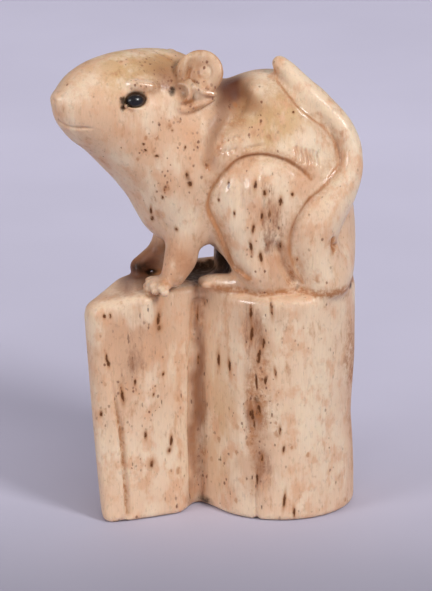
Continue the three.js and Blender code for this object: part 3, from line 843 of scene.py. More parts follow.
# x and z of the dark marks on the near side, with half their width and half their height
MARKS = [
    (-3.4, 37.0, 0.16, 0.34), (-3.1, 36.0, 0.22, 0.30), (-6.5, 38.9, 0.22, 0.14),
    (3.5, 36.1, 0.14, 0.42), (6.1, 34.3, 0.19, 0.5), (4.5, 35.2, 0.2, 0.3),
    (3.1, 29.5, 0.15, 0.65), (4.1, 28.4, 0.15, 0.55), (-5.7, 35.3, 0.11, 0.25),
    (-7.0, 31.7, 0.16, 0.3), (0.8, 35.9, 0.12, 0.45), (3.3, 31.6, 0.14, 0.5),
    (-6.4, 21.3, 0.20, 0.7), (-6.3, 20.4, 0.22, 0.3), (-11.7, 17.6, 0.13, 0.4),
    (-11.5, 17.0, 0.14, 0.4), (-10.1, 13.6, 0.18, 0.9), (-7.7, 9.1, 0.13, 0.42),
    (-5.1, 8.0, 0.16, 0.6), (-5.3, 7.1, 0.2, 0.3), (-7.1, 6.0, 0.22, 0.42),
    (-12.3, 11.6, 0.14, 0.3), (-0.2, 16.6, 0.14, 0.7), (0.9, 16.4, 0.15, 0.7),
    (5.6, 16.3, 0.12, 0.5), (5.2, 23.0, 0.14, 0.7), (3.1, 22.4, 0.13, 0.9),
    (3.2, 20.2, 0.16, 0.9), (3.9, 17.8, 0.2, 0.9), (4.4, 19.3, 0.14, 0.6),
    (4.6, 15.4, 0.14, 0.5), (3.2, 11.6, 0.26, 0.7), (4.0, 12.0, 0.2, 0.7),
    (3.4, 10.9, 0.12, 0.9), (3.7, 15.0, 0.12, 1.0), (6.1, 10.0, 0.13, 0.5),
    (4.3, 6.9, 0.14, 0.4), (6.5, 7.9, 0.13, 0.35), (6.6, 2.4, 0.13, 0.9),
    (-2.4, 20.9, 0.12, 0.8), (-2.3, 16.0, 0.1, 0.5), (-11.9, 22.0, 0.12, 0.22),
    (-11.3, 22.1, 0.12, 0.22), (7.6, 1.0, 0.12, 0.6), (3.8, 4.6, 0.1, 0.8),
    (-8.8, 14.9, 0.1, 0.3), (-5.9, 15.4, 0.12, 0.2), (-6.9, 13.4, 0.1, 0.2),
    (1.4, 33.0, 0.1, 0.3), (-7.8, 40.2, 0.1, 0.1), (7.4, 42.9, 0.12, 0.12),
    (-7.6, 39.5, 0.12, 0.12), (-0.2, 34.2, 0.12, 0.16), (4.2, 32.8, 0.12, 0.4),
    (5.0, 33.0, 0.12, 0.3), (6.1, 29.5, 0.12, 0.4), (7.8, 27.9, 0.1, 0.2),
    (-7.1, 32.7, 0.12, 0.5), (7.3, 35.0, 0.14, 0.2), (-4.5, 30.9, 0.16, 0.2),
    (-5.9, 34.4, 0.12, 0.16), (-4.9, 41.5, 0.1, 0.12), (-3.6, 39.8, 0.1, 0.16),
]

# place, radii, strength of the polish that handling left
POLISHED = [
    ((0.8, -6.8, 35.6), (1.2, 2, 1.6), 1.1),
    ((3.3, -7.2, 35.4), (1.1, 2, 2.4), 1.2),
    ((13.0, -4.0, 39.5), (1.4, 3, 3.4), 1.0),
    ((12.4, -5.0, 35.0), (1.8, 3, 3.4), 1.2),
    ((7.6, -6.8, 30.8), (0.9, 2, 2.4), 1.3),
    ((1.8, -5.0, 25.4), (2.6, 2, 0.8), 1.0),
    ((-5.8, -5.2, 25.0), (2.0, 2, 0.9), 0.9),
    ((-7.8, -5.8, 46.3), (2.6, 1.5, 0.8), 1.6),
    ((-1.6, -5.0, 45.3), (1.6, 1.2, 0.5), 1.4),
    ((0.4, -6.4, 39.4), (1.8, 2, 1.1), 1.4),
    ((9.2, -5.2, 38.8), (1.8, 2, 1.6), 1.0),
    ((-16.6, -5.0, 45.2), (0.9, 1.5, 0.8), 0.8),
    ((-8.6, -6.4, 43.5), (1.2, 1.5, 0.4), 0.8),
    ((-2.4, -5.2, 45.1), (1.8, 1.5, 0.9), 0.8),
    ((-4.6, -5.4, 43.6), (1.5, 1.5, 0.8), 0.6),
    ((9.0, -3.6, 43.0), (1.6, 2, 2.0), 0.5),
    ((-10.6, -7.0, 23.2), (5.0, 1.2, 0.5), 1.0),
    ((3.0, -7.2, 23.7), (5.0, 3, 0.5), 1.3),
    ((-1.3, -4.4, 23.6), (1.0, 2, 0.6), 0.9),
]


# place, radii, strength of the dark streak down the right lobe
STREAK = [
    ((3.4, -7, 20.6), (1.9, 4, 4.6), 1.0),
    ((3.7, -7, 12.0), (2.4, 4, 3.4), 1.1),
    ((4.3, -7, 5.5), (1.9, 4, 5.0), 0.9),
    ((6.0, -7, 13.0), (1.2, 4, 9.0), 0.6),
]

# place, radii, strength of the brown smears off the streak
SMEARED = [
    ((7.0, -7, 21.0), (2.4, 3, 3.0), 0.7),
    ((0.0, -5.0, 41.0), (3.0, 3, 3.0), 0.4),
    ((-5.6, -5.0, 46.4), (2.2, 2, 1.8), 0.9),
    ((-4.6, -6.0, 38.0), (3.6, 3, 3.0), 0.25),
    ((-8.6, -7.0, 17.0), (3.0, 3, 3.5), 0.8),
]

# place, radii, strength of the clusters of red-brown specks
SPECKLED = [
    ((-5.5, -5.5, 41.0), (4.5, 4, 3.4), 0.9),
    ((-6.4, -4.0, 46.8), (3.2, 4, 2.6), 1.7),
    ((-2.5, -4.5, 46.0), (3.0, 2, 3.0), 0.8),
    ((2.0, -5.0, 42.4), (2.8, 4, 2.8), 1.1),
    ((5.0, -6.5, 31.0), (2.6, 4, 7.0), 0.5),
    ((-6.0, -5.5, 36.0), (3.4, 4, 3.4), 0.9),
    ((-9.0, -6.5, 14.0), (4.6, 4, 6.0), 0.5),
    ((-1.0, -5.5, 4.0), (4.0, 4, 4.0), 0.5),
    ((4.0, -7.0, 10.0), (2.6, 4, 9.0), 0.7),
]

# line, width and strength of the brown that has settled along it
SETTLED = [
    (HAUNCH, 0.7, 0.85), (TAIL_EDGE, 0.7, 0.75), (FAR_HAUNCH, 0.5, 0.7),
    (CROWN_FOLD, 0.4, 1.0), (NICK[0], 0.55, 1.2), (NICK[1], 0.4, 1.0),
    (EAR_BOSS, 0.22, 0.35), (EAR_EDGE, 0.2, 0.7), (EAR_CREASE, 0.4, 0.7),
]

BARE_SPECKS = 0.07
RAT_FOOT = 24.2


def marked(clay):
    """True where a mark, a spot of dirt or a spot of painted shade needs the mesh at its finest.
    """
    x, y, z = clay.points.T
    found = (np.abs(x - 4.2) < 2.8) & (y < -2) & (z < 24)
    for mark_x, mark_z, half_width, half_height in MARKS:
        across = np.abs(x - mark_x) < half_width + 0.4
        found |= across & (np.abs(z - mark_z) < half_height + 0.5) & (y < 1.5)
    for place, radii, _ in DIRT_AND_SHADE_SPOTS:
        found |= around(clay.points, place, radii) > 0.1
    return found


def waver(points, reach, seed):
    """A slow, even wandering of each point, so that laid colour has no round edges."""
    generator = np.random.default_rng(seed)
    move = np.zeros(points.shape)
    for size in (1.0, 0.5, 0.27):
        waves = generator.normal(size=(3, 3)) / (reach * size)
        phase = generator.uniform(0, 2 * math.pi, 3)
        move += size * np.sin(points @ waves.T + phase)
    return move


def lay_tint(clay, loose, settings):
    """The bone's broad colours, washed over one another, with painted shade down the groove,
    under the belly and behind the ear.
    """
    y = clay.points[:, 1]
    tones = {name: np.array(getattr(settings, name)) for _, _, name, _ in WASHES}
    tint = np.empty((len(y), 3))
    tint[:] = 0.5 * tones["cream"] + 0.5 * tones["peach"]
    for place, radii, tone, strength in WASHES:
        local = (loose - place) / radii
        share = np.minimum(strength * 1.15 * np.exp(-1.4 * (local ** 2).sum(1)), 1)[:, None]
        tint += share * (tones[tone] - tint)
    reach = np.full(len(y), 9.0)
    for point in smooth_run(TAIL_MIDDLE, 0.5):
        reach = np.minimum(reach, np.linalg.norm(clay.points - point, axis=1))
    tail = (0.75 * ease(2.9, 1.9, reach))[:, None]
    tint += tail * (tones["cream"] - tint)
    far = (ease(0, 4, y) * ease(-1, 1, clay.normals[:, 1] + 0.6))[:, None]
    return tint + 0.25 * far * (tones["honey"] - tint)


def lay_marks(clay, near):
    """The dark marks of the near side, and the brown round each of them."""
    x, _, z = clay.points.T
    marks = np.zeros(len(x))
    halo = np.zeros(len(x))
    for i, (mark_x, mark_z, half_width, half_height) in enumerate(MARKS):
        lean = 0.12 * math.sin(7 * i)
        across = (x - mark_x - lean * (z - mark_z)) / half_width
        up = (z - mark_z) / half_height
        gap = np.hypot(across, up)
        marks = np.maximum(marks, near * ease(1.25, 0.5, gap))
        halo = np.maximum(halo, near * np.exp(-0.35 * gap * gap))
    return marks, halo


def lay_colour(clay, rough, settings):
    """Point values that the bone's material reads."""
    mesh = clay.piece.data
    x, y, z = clay.points.T
    shut = shelter(rough, clay.points)
    fine = hollowness(clay, 6)
    broad = hollowness(clay, 60)
    near = ease(1.5, -1.5, y)
    far = ease(-1, 2, y)
    block = ease(24.5, 23.5, z)
    lower = ease(25, 23, z)
    loose = clay.points + 0.45 * waver(clay.points, 2.2, 3) * (1, 1, 1.4)
    tint = lay_tint(clay, loose, settings)

    # the stain mask: orange-brown stain in the cuts, and painted shade in broad hollows and
    # where the sky is shut off
    stain_and_shade = 4 * np.clip(fine, 0, 1) + 0.9 * np.clip(broad, 0, 1) + 0.6 * ease(0.35, 0.9, shut)
    stain_and_shade = np.maximum(stain_and_shade, 0.35 * along_line(clay, clay.line(SHOULDER), 1.4))
    seam = np.zeros(len(x))
    for stations, width, strength in SETTLED:
        line = clay.line(stations)
        seam = np.maximum(seam, strength * along_line(clay, line, width))
        stain_and_shade = np.maximum(stain_and_shade, 0.55 * strength * along_line(clay, line, 2.8 * width))
    stain_and_shade = np.maximum(stain_and_shade, lumps(loose, STAINED))
    joint = ease(-2, 0, x) * ease(0.2, -0.4, clay.normals[:, 2] - 0.75)
    seam = np.maximum(seam, 0.9 * np.exp(-((z - RAT_FOOT) / 0.22) ** 2) * joint)
    stain_and_shade = np.maximum(stain_and_shade, 0.9 * np.exp(-((z - RAT_FOOT - 0.1) / 0.6) ** 2) * joint)

    tear = 1.3 * along_line(clay, clay.line(TEAR), 0.75)
    # the dirt mask: dark dirt spots, the tear line, the listed spots of painted shade, and
    # near-black painted shade where the sky is most shut off
    dirt_and_shade = np.maximum.reduce([ease(0.62, 0.95, shut), tear, lumps(clay.points, DIRT_AND_SHADE_SPOTS)])
    marks, halo = lay_marks(clay, near)

    streak = lumps(clay.points, STREAK)
    haunch = around(clay.points, (5.0, -7, 32.0), (2.4, 4, 6))
    corner = around(clay.points, (-9.0, -6.5, 20), (4, 4, 5), 0.6)
    # the groove between the lobes: painted shade in the smear, and dashes in the canals
    groove = np.exp(-(((x + 2.2) / 1.0) ** 2)) * near * 0.8
    canals = np.maximum.reduce([
        0.12 * block, 0.5 * streak * lower, 0.8 * haunch, corner, groove * lower,
        0.35 * far * block,
    ])
    smear = np.maximum.reduce([
        0.1 * block, streak * lower, 0.95 * haunch, 0.9 * corner, 0.6 * groove * lower,
        0.2 * far, lumps(clay.points, SMEARED),
    ])
    gloss = np.maximum(lumps(clay.points, POLISHED), 10 * np.clip(-fine - 0.01, 0, 1))
    give(mesh, "stain_and_shade", spread(mesh, stain_and_shade, 1))
    give(mesh, "seam", seam)
    give(mesh, "dirt_and_shade", spread(mesh, dirt_and_shade, 2))
    give(mesh, "marks", marks)
    give(mesh, "halo", halo)
    give(mesh, "canals", canals)
    give(mesh, "specks", BARE_SPECKS + lumps(clay.points, SPECKLED))
    give(mesh, "smear", smear)
    give(mesh, "gloss", gloss)
    layer = mesh.color_attributes.new("tint", "FLOAT_COLOR", "POINT")
    solid = np.ones((len(x), 4), np.float32)
    solid[:, :3] = tint
    layer.data.foreach_set("color", solid.ravel())


# ---------------------------------------------------------------- materials


class Nodes:
    """Places nodes in a tree and joins their sockets."""

    def __init__(self, tree):
        self.tree = tree
        self.column = 0

    def add(self, kind, inputs=None, **settings):
        node = self.tree.nodes.new(kind)
        node.location = (self.column * 200, 0)
        self.column += 1
        for name, value in settings.items():
            setattr(node, name, value)
        for name, value in (inputs or {}).items():
            self.feed(node.inputs[name], value)
        return node

    def feed(self, socket, value):
        if isinstance(value, bpy.types.NodeSocket):
            self.tree.links.new(value, socket)
        else:
            socket.default_value = value

    def maths(self, operation, *values):
        node = self.add("ShaderNodeMath", operation=operation)
        for socket, value in zip(node.inputs, values):
            self.feed(socket, value)
        return node.outputs[0]

    def plus(self, first, second):
        return self.maths("ADD", first, second)

    def minus(self, first, second):
        return self.maths("SUBTRACT", first, second)

    def times(self, first, second):
        return self.maths("MULTIPLY", first, second)

    def times_plus(self, first, second, third):
        return self.maths("MULTIPLY_ADD", first, second, third)

    def most(self, first, second):
        return self.maths("MAXIMUM", first, second)

    def ramp(self, value, low, high, to_low=0.0, to_high=1.0):
        """Eases from one value to another while the input goes from low to high."""
        node = self.add("ShaderNodeMapRange", interpolation_type="SMOOTHSTEP")
        for name, number in (
            ("Value", value), ("From Min", low), ("From Max", high),
            ("To Min", to_low), ("To Max", to_high),
        ):
            self.feed(node.inputs[name], number)
        return node.outputs["Result"]

    def blend(self, share, first, second, blend_type="MIX"):
        node = self.add("ShaderNodeMix", data_type="RGBA", blend_type=blend_type)
        self.feed(node.inputs[0], share)
        self.feed(node.inputs[6], first)
        self.feed(node.inputs[7], second)
        return node.outputs[2]

    def lay(self, share, under, paint_colour):
        """Lays one plain colour over another colour by a share."""
        return self.blend(share, under, (*paint_colour, 1))

    def shade(self, colour, value):
        return self.blend(1.0, colour, value, "MULTIPLY")

    def mapping(self, vector, scale, location=(0, 0, 0)):
        inputs = {"Vector": vector, "Scale": scale, "Location": location}
        return self.add("ShaderNodeMapping", inputs).outputs["Vector"]

    def noise(self, vector, scale, detail, roughness, location=(0, 0, 0)):
        """Noise at one scale, or drawn out along the axes where three are given."""
        if isinstance(scale, tuple):
            vector = self.mapping(vector, scale, location)
            scale = 1.0
        inputs = {"Vector": vector, "Scale": scale, "Detail": detail, "Roughness": roughness}
        return self.add("ShaderNodeTexNoise", inputs).outputs["Fac"]

    def attribute(self, name):
        return self.add("ShaderNodeAttribute", attribute_name=name).outputs["Fac"]


def new_group(name, numbers, outputs):
    """A node group that takes a vector and named numbers, and puts out numbers."""
    group = bpy.data.node_groups.new(name, "ShaderNodeTree")
    add = group.interface.new_socket
    add("Vector", in_out="INPUT", socket_type="NodeSocketVector")
    for socket_name, default in numbers.items():
        add(socket_name, in_out="INPUT", socket_type="NodeSocketFloat").default_value = default
    for socket_name in outputs:
        add(socket_name, in_out="OUTPUT", socket_type="NodeSocketFloat")
    nodes = Nodes(group)
    given = nodes.add("NodeGroupInput").outputs
    return group, nodes, given, nodes.add("NodeGroupOutput").inputs


def dashes_group():
    """Small marks scattered through the bone, longer the more the space is squeezed."""
    wander = (0.45, 0.45, 0.45)
    group, nodes, given, out = new_group(
        "Scattered marks", {"Size": 0.3, "Amount": 0.5}, ["Mask"]
    )
    wobble = nodes.add("ShaderNodeTexNoise", {
        "Vector": given["Vector"], "Scale": 2.4, "Detail": 4.0, "Roughness": 0.7,
    })
    bent = nodes.add("ShaderNodeVectorMath", operation="MULTIPLY_ADD")
    for socket, value in zip(bent.inputs, (wobble.outputs["Color"], wander, given["Vector"])):
        nodes.feed(socket, value)
    cells = nodes.add("ShaderNodeTexVoronoi", {
        "Vector": bent.outputs[0], "Scale": 1.0, "Randomness": 1.0,
    }).outputs
    chance = nodes.add("ShaderNodeSeparateColor", {"Color": cells["Color"]}).outputs
    size = nodes.times(given["Size"], nodes.ramp(chance["Green"], 0, 1, 0.45, 1.0))
    mark = nodes.ramp(cells["Distance"], size, nodes.times(size, 0.45))
    present = nodes.ramp(nodes.minus(given["Amount"], chance["Red"]), -0.02, 0.08)
    tone = nodes.ramp(chance["Blue"], 0, 1, 0.45, 1.0)
    nodes.feed(out["Mask"], nodes.times(nodes.times(mark, present), tone))
    return group


def wear_group():
    """Fine scratches and smudges from handling."""
    group, nodes, given, out = new_group(
        "Handling wear", {"Roughness": 0.3, "Spread": 0.1}, ["Roughness", "Height"]
    )
    smudge = nodes.noise(given["Vector"], 0.6, 3.0, 0.6)
    scratch = nodes.noise(given["Vector"], (9, 9, 1.1), 2.0, 0.6)
    both = nodes.times_plus(scratch, 0.6, nodes.times(smudge, 0.9))
    varied = nodes.ramp(both, 0.4, 1.05, -1, 1)
    rough = nodes.times_plus(varied, given["Spread"], given["Roughness"])
    nodes.feed(out["Roughness"], rough)
    nodes.feed(out["Height"], both)
    return group


def place_group(nodes, group, inputs):
    node = nodes.add("ShaderNodeGroup", node_tree=group)
    for name, value in inputs.items():
        nodes.feed(node.inputs[name], value)
    return node.outputs


def new_material(name):
    material = bpy.data.materials.new(name)
    material.use_nodes = True
    material.node_tree.nodes.clear()
    nodes = Nodes(material.node_tree)
    shader = nodes.add("ShaderNodeBsdfPrincipled")
    output = nodes.add("ShaderNodeOutputMaterial")
    nodes.tree.links.new(shader.outputs["BSDF"], output.inputs["Surface"])
    return material, nodes, shader


def millimetres(nodes):
    """The object's own place in millimetres, as a vector that textures read."""
    coordinates = nodes.add("ShaderNodeTexCoord").outputs["Object"]
    return nodes.mapping(coordinates, (1 / MM, 1 / MM, 1 / MM))


def bone_colour(nodes, place, settings):
    """The clean bone's colour, from the tint laid one by one and from its grain."""
    patches = nodes.noise(place, (0.38, 0.38, 0.22), 3.0, 0.5)
    fibres = nodes.noise(place, (3.2, 3.2, 0.22), 4.0, 0.65)
    fine_fibres = nodes.noise(place, (11, 11, 0.7), 2.0, 0.5)
    cloud = nodes.noise(place, (0.62, 0.62, 0.45), 4.0, 0.55)
    colour = nodes.add("ShaderNodeAttribute", attribute_name="tint").outputs["Color"]
    brightness = nodes.add("ShaderNodeRGBToBW", {"Color": colour}).outputs["Val"]
    light = nodes.ramp(brightness, 0.25, 0.42)
    open_tone = nodes.ramp(brightness, 0.05, 0.22)
    grain = nodes.ramp(fibres, 0.3, 0.72, -0.04, 0.04)
    pale = nodes.ramp(nodes.plus(patches, grain), 0.44, 0.68, 0, 0.8)
    colour = nodes.lay(nodes.times(pale, light), colour, settings.cream)
    warm = nodes.ramp(nodes.plus(cloud, grain), 0.47, 0.68, 0, 0.75)
    colour = nodes.lay(nodes.times(warm, light), colour, settings.peach)
    colour = nodes.shade(colour, nodes.ramp(fine_fibres, 0.3, 0.75, 0.96, 1.03))
    return colour, open_tone, fibres, fine_fibres, cloud


def bone_material(settings, marks, wear):
    material, nodes, shader = new_material("polished bone")
    place = millimetres(nodes)
    colour, open_tone, fibres, fine_fibres, cloud = bone_colour(nodes, place, settings)

    # brown smears drawn out along the bone
    drawn = nodes.noise(place, (1.1, 1.1, 0.34), 6.0, 0.75, (2, 6, 1))
    smear = nodes.times_plus(nodes.attribute("smear"), 0.36, drawn)
    smear = nodes.times(nodes.ramp(smear, 0.66, 0.94, 0, 0.9), open_tone)
    colour = nodes.lay(smear, colour, settings.umber)

    # orange-brown stain, with the painted shade of broad hollows and sheltered places, broken up
    # so that it lies in streaks and spots
    broken = nodes.ramp(nodes.noise(place, 1.5, 5.0, 0.7), 0.32, 0.68, 0.35, 1.35)
    streaks = nodes.noise(place, (0.8, 0.8, 0.26), 5.0, 0.65, (7, 3, 1))
    seam = nodes.times(nodes.attribute("seam"), nodes.ramp(drawn, 0.3, 0.6, 0.55, 1.1))
    stain_and_shade = nodes.times(nodes.attribute("stain_and_shade"), broken)
    stain_and_shade = nodes.most(stain_and_shade, nodes.ramp(streaks, 0.53, 0.76, 0, 0.55))
    stain_and_shade = nodes.most(stain_and_shade, nodes.times(nodes.attribute("halo"), 0.85))
    stain_and_shade = nodes.most(stain_and_shade, seam)
    stain_and_shade_share = nodes.times(nodes.ramp(stain_and_shade, 0.0, 0.95, 0, 0.9), open_tone)
    colour = nodes.lay(stain_and_shade_share, colour, settings.stain_and_shade)

    # red-brown specks and flecks, then canals cut open as long and small dashes
    canals = nodes.attribute("canals")
    clusters = nodes.ramp(cloud, 0.42, 0.64, 0.15, 1.5)
    specks = nodes.times(nodes.attribute("specks"), clusters)

    def scattered(stretch, size, amount, shift=(0, 0, 0)):
        vector = nodes.mapping(place, stretch, shift)
        inputs = {"Vector": vector, "Size": size, "Amount": amount}
        return place_group(nodes, marks, inputs)["Mask"]

    fleck = scattered((1.2, 1.2, 0.8), 0.46, specks, (5, 1, 9))
    speck = scattered((2.2, 2.2, 1.7), 0.44, nodes.times(specks, 1.5), (3, 8, 4))
    dash = scattered((1.6, 1.6, 0.46), 0.30, nodes.times(canals, 0.42))
    short = nodes.times_plus(canals, 0.62, nodes.times(specks, 0.16))
    small_dash = scattered((3.0, 3.0, 1.0), 0.33, short, (11, 5, 2))
    colour = nodes.lay(nodes.times(fleck, 0.62), colour, settings.stain_and_shade)
    colour = nodes.lay(nodes.times(speck, 0.85), colour, settings.speck)

    # the listed marks, with ragged edges
    ragged = nodes.noise(place, (2.6, 2.6, 1.4), 4.0, 0.6)
    ragged = nodes.ramp(ragged, 0.3, 0.66, -0.6, 0.34)
    hand = nodes.ramp(nodes.plus(nodes.attribute("marks"), ragged), 0.15, 0.95)
    hand = nodes.times(hand, 0.95)
    open_pores = nodes.most(nodes.most(dash, nodes.times(small_dash, 0.85)), hand)
    colour = nodes.lay(nodes.times(open_pores, 0.93), colour, settings.canal)

    # dark dirt, with near-black painted shade where the sky is most shut off
    dirt_and_shade = nodes.times(nodes.attribute("dirt_and_shade"), nodes.ramp(broken, 0.35, 1.35, 0.75, 1.2))
    colour = nodes.lay(nodes.ramp(dirt_and_shade, 0.1, 0.95, 0, 0.92), colour, settings.dirt_and_shade)
    nodes.feed(shader.inputs["Base Color"], colour)

    # rougher where it is stained (a mask that also holds painted shade) or open, smoother where
    # hands have polished it
    handled = place_group(nodes, wear, {
        "Vector": place, "Roughness": settings.roughness, "Spread": 0.07,
    })
    gloss = nodes.attribute("gloss")
    rough = nodes.plus(handled["Roughness"], nodes.times(nodes.ramp(stain_and_shade, 0.2, 1), 0.12))
    rough = nodes.plus(rough, nodes.times(open_pores, 0.25))
    rough = nodes.minus(rough, nodes.times(gloss, 0.3))
    nodes.feed(shader.inputs["Roughness"], rough)
    nodes.feed(shader.inputs["Coat Weight"], nodes.times_plus(gloss, 0.95, 0.05))
    dull = nodes.ramp(nodes.most(hand, dirt_and_shade), 0, 1, 0.5, 0.08)
    nodes.feed(shader.inputs["Specular IOR Level"], dull)

    height = nodes.times_plus(fibres, 0.14, nodes.times(fine_fibres, 0.05))
    height = nodes.times_plus(cloud, 0.7, height)
    height = nodes.times_plus(open_pores, -0.9, height)
    height = nodes.times_plus(handled["Height"], 0.08, height)
    bump = nodes.add("ShaderNodeBump", {"Height": height, "Distance": 0.1 * MM, "Strength": 1.0})
    nodes.feed(shader.inputs["Normal"], bump.outputs["Normal"])

    shader.inputs["Subsurface Weight"].default_value = 0.22
    shader.inputs["Subsurface Radius"].default_value = (1.0, 0.5, 0.25)
    shader.inputs["Subsurface Scale"].default_value = 0.8 * MM
    shader.inputs["Coat Roughness"].default_value = 0.09
    return material


def eye_material(settings, wear):
    material, nodes, shader = new_material("black bead")
    place = millimetres(nodes)
    streaks = nodes.noise(place, (3, 3, 3), 3.0, 0.6)
    edge = nodes.times(nodes.attribute("edge"), nodes.ramp(streaks, 0.35, 0.65, 0.6, 1.0))
    colour = nodes.lay(edge, (*settings.colour, 1), settings.rim)
    nodes.feed(shader.inputs["Base Color"], colour)
    handled = place_group(nodes, wear, {"Vector": place, "Roughness": 0.27, "Spread": 0.04})
    nodes.feed(shader.inputs["Roughness"], handled["Roughness"])
    bump = nodes.add("ShaderNodeBump", {"Height": handled["Height"], "Distance": 0.004 * MM})
    nodes.feed(shader.inputs["Normal"], bump.outputs["Normal"])
    shader.inputs["Specular IOR Level"].default_value = 0.6
    shader.inputs["Coat Weight"].default_value = 0.08
    shader.inputs["Coat Roughness"].default_value = 0.03
    return material


def table_material(settings):
    """Pale paper, with painted shade towards the front and painted light towards the back."""
    material, nodes, shader = new_material("pale paper")
    place = millimetres(nodes)
    mottle = nodes.ramp(nodes.noise(place, 0.02, 3.0, 0.5), 0.3, 0.7, 0.97, 1.03)
    colour = nodes.shade((*settings.cloth, 1), mottle)
    depth = nodes.add("ShaderNodeSeparateXYZ", {"Vector": place}).outputs["Y"]
    # painted shade at the front of the table and painted light towards the back
    front = nodes.ramp(depth, -40, 20, 0.57, 1.08)
    back = nodes.ramp(depth, 20, 160, 1.0, 1.22)
    nodes.feed(shader.inputs["Base Color"], nodes.shade(colour, nodes.times(front, back)))
    shader.inputs["Roughness"].default_value = 0.85
    shader.inputs["Specular IOR Level"].default_value = 0.2
    return material


def shared_group(name, build):
    return bpy.data.node_groups.get(name) or build()


# ---------------------------------------------------------------- the operators


MIDDLE = Vector((-0.47, 0, 22.1)) * MM

# name, place and width in metres, power, and where it points
LAMPS = [
    ("right box", (0.37, -0.38, 0.40), 0.20, 2.3, MIDDLE),
    ("left box", (-0.46, -0.36, 0.24), 0.26, 1.3, MIDDLE),
    ("front", (0.05, -0.42, 0.36), 0.40, 0.62, MIDDLE),
    ("paper", (0.0, 0.42, 0.40), 0.50, 0.36, Vector((0, 0.15, 0))),
]
NO_GLINT = "front"


class NETSUKE_OT_carving(bpy.types.Operator):
    """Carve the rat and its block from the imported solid"""

    bl_idname = "netsuke.carving"
    bl_label = "Carve the rat and its block"

    def execute(self, context):
        settings = context.scene.netsuke_carving
        step = settings.clay_step * 1.0
        passes = settings.melt_passes // 1
        rough = merged_copy("carving", "rough_form")
        piece = merged_copy("carving", "carved_bone")
        apply_modifier(piece, "REMESH", mode="VOXEL", voxel_size=step)
        melt(piece, passes)
        join_to(piece, ears() + toes() + lids())
        apply_modifier(piece, "REMESH", mode="VOXEL", voxel_size=step)
        apply_modifier(piece, "SMOOTH", factor=0.5, iterations=3)
        clay = Clay(piece, surface_of(piece))
        carve_lines(clay, settings.line_depth / MM)
        carve_block(clay)
        clay.press()
        cut_fur(clay, settings.fur_depth / MM)
        low, high = np.array(CAD_LOW) / MM, np.array(CAD_HIGH) / MM
        clay.points[:] = np.clip(clay.points, low, high)
        clay.press()
        apply_modifier(piece, "SMOOTH", factor=0.3, iterations=1)
        triangles = 2 * len(piece.data.polygons)
        if triangles > settings.face_limit:
            unmarked = np.flatnonzero(~marked(Clay(piece, clay.surface)))
            plain = piece.vertex_groups.new(name="plain")
            plain.add(unmarked.tolist(), 1.0, "REPLACE")
            ratio = settings.face_limit / triangles
            apply_modifier(piece, "DECIMATE", ratio=ratio, vertex_group=plain.name)
            piece.vertex_groups.clear()
        take_up(piece)
        bpy.ops.object.shade_smooth()
        lay_colour(Clay(piece, clay.surface), rough, context.scene.netsuke_bone)
        bpy.data.objects.remove(rough)
        marks = shared_group("Scattered marks", dashes_group)
        wear = shared_group("Handling wear", wear_group)
        piece.data.materials.append(bone_material(context.scene.netsuke_bone, marks, wear))
        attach(piece, "root")
        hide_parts("carving")
        return {"FINISHED"}


class NETSUKE_OT_eyes(bpy.types.Operator):
    """Set the two black beads in their sockets"""

    bl_idname = "netsuke.eyes"
    bl_label = "Set the eyes"

    def execute(self, context):
        wear = shared_group("Handling wear", wear_group)
        material = eye_material(context.scene.netsuke_eyes, wear)
        for node in ("near_eye", "far_eye"):
            piece = merged_copy(node, node + "_bead")
            apply_modifier(piece, "SUBSURF", levels=3, render_levels=3)
            mesh = piece.data
            low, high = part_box(node)
            middle = (low + high) / 2
            outward = -1 if middle.y < 0 else 1
            edge = []
            for vertex in mesh.vertices:
                depth = outward * (vertex.co.y - middle.y) / (high.y - low.y) * 2
                edge.append(1 - min(max(depth / 0.6, 0), 1))
            give(mesh, "edge", np.array(edge))
            mesh.materials.append(material)
            take_up(piece)
            bpy.ops.object.shade_smooth()
            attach(piece, "root")
            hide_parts(node)
        return {"FINISHED"}


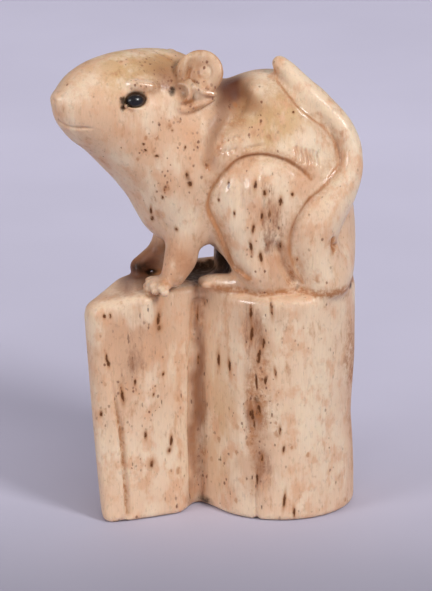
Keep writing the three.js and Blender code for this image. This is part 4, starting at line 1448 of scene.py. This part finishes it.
class NETSUKE_OT_stage(bpy.types.Operator):
    """Lay the table, hang the lights and set up the camera"""

    bl_idname = "netsuke.stage"
    bl_label = "Light the table"

    def execute(self, context):
        settings = context.scene.netsuke_stage
        deselect_all()
        bpy.ops.mesh.primitive_plane_add(size=3.2, location=(0, 0, 0))
        table = context.object
        table.name = "table"
        table.data.materials.append(table_material(settings))
        for name, place, width, power, target in LAMPS:
            light = bpy.data.lights.new(name, "AREA")
            light.shape = "DISK"
            light.size = width
            light.energy = power
            self.stand(name, light, place, target).visible_glossy = name != NO_GLINT

        world = bpy.data.worlds.new("room")
        world.use_nodes = True
        background = world.node_tree.nodes["Background"].inputs
        background["Color"].default_value = (*settings.room, 1)
        background["Strength"].default_value = 0.27
        context.scene.world = world
        context.scene.view_settings.view_transform = "Standard"

        camera = bpy.data.cameras.new("camera")
        camera.lens = settings.lens
        camera.sensor_width = 36
        camera.clip_start = 0.01
        camera.clip_end = 5
        back = Vector((0, -math.cos(settings.elevation), math.sin(settings.elevation)))
        place = MIDDLE + back * settings.distance
        context.scene.camera = self.stand("camera", camera, place, MIDDLE)
        return {"FINISHED"}

    def stand(self, name, thing, place, target):
        """Stands a lamp or the camera at a place, pointing at its target."""
        holder = bpy.data.objects.new(name, thing)
        bpy.context.scene.collection.objects.link(holder)
        holder.location = place
        holder.rotation_euler = (target - holder.location).to_track_quat("-Z", "Y").to_euler()
        return holder


class NETSUKE_PT_panel(bpy.types.Panel):
    """Sizes, colours and steps of the netsuke"""

    bl_label = "Netsuke"
    bl_idname = "NETSUKE_PT_panel"
    bl_space_type = "VIEW_3D"
    bl_region_type = "UI"
    bl_category = "Netsuke"

    def draw(self, context):
        for settings_name, operator in (
            ("netsuke_carving", "netsuke.carving"), ("netsuke_bone", None),
            ("netsuke_eyes", "netsuke.eyes"), ("netsuke_stage", "netsuke.stage"),
        ):
            box = self.layout.box()
            settings = getattr(context.scene, settings_name)
            for name in settings.__annotations__:
                box.prop(settings, name)
            if operator:
                box.operator(operator)


SETTINGS = {
    "netsuke_carving": CarvingSettings,
    "netsuke_bone": BoneSettings,
    "netsuke_eyes": EyeSettings,
    "netsuke_stage": StageSettings,
}
CLASSES = (
    *SETTINGS.values(), NETSUKE_OT_carving, NETSUKE_OT_eyes, NETSUKE_OT_stage,
    NETSUKE_PT_panel,
)


def register():
    for each in CLASSES:
        bpy.utils.register_class(each)
    for name, kind in SETTINGS.items():
        setattr(bpy.types.Scene, name, bpy.props.PointerProperty(type=kind))


def unregister():
    for name in SETTINGS:
        delattr(bpy.types.Scene, name)
    for each in reversed(CLASSES):
        bpy.utils.unregister_class(each)


def main():
    register()
    bpy.ops.netsuke.carving()
    bpy.ops.netsuke.eyes()
    bpy.ops.netsuke.stage()


if __name__ == "__main__":
    main()
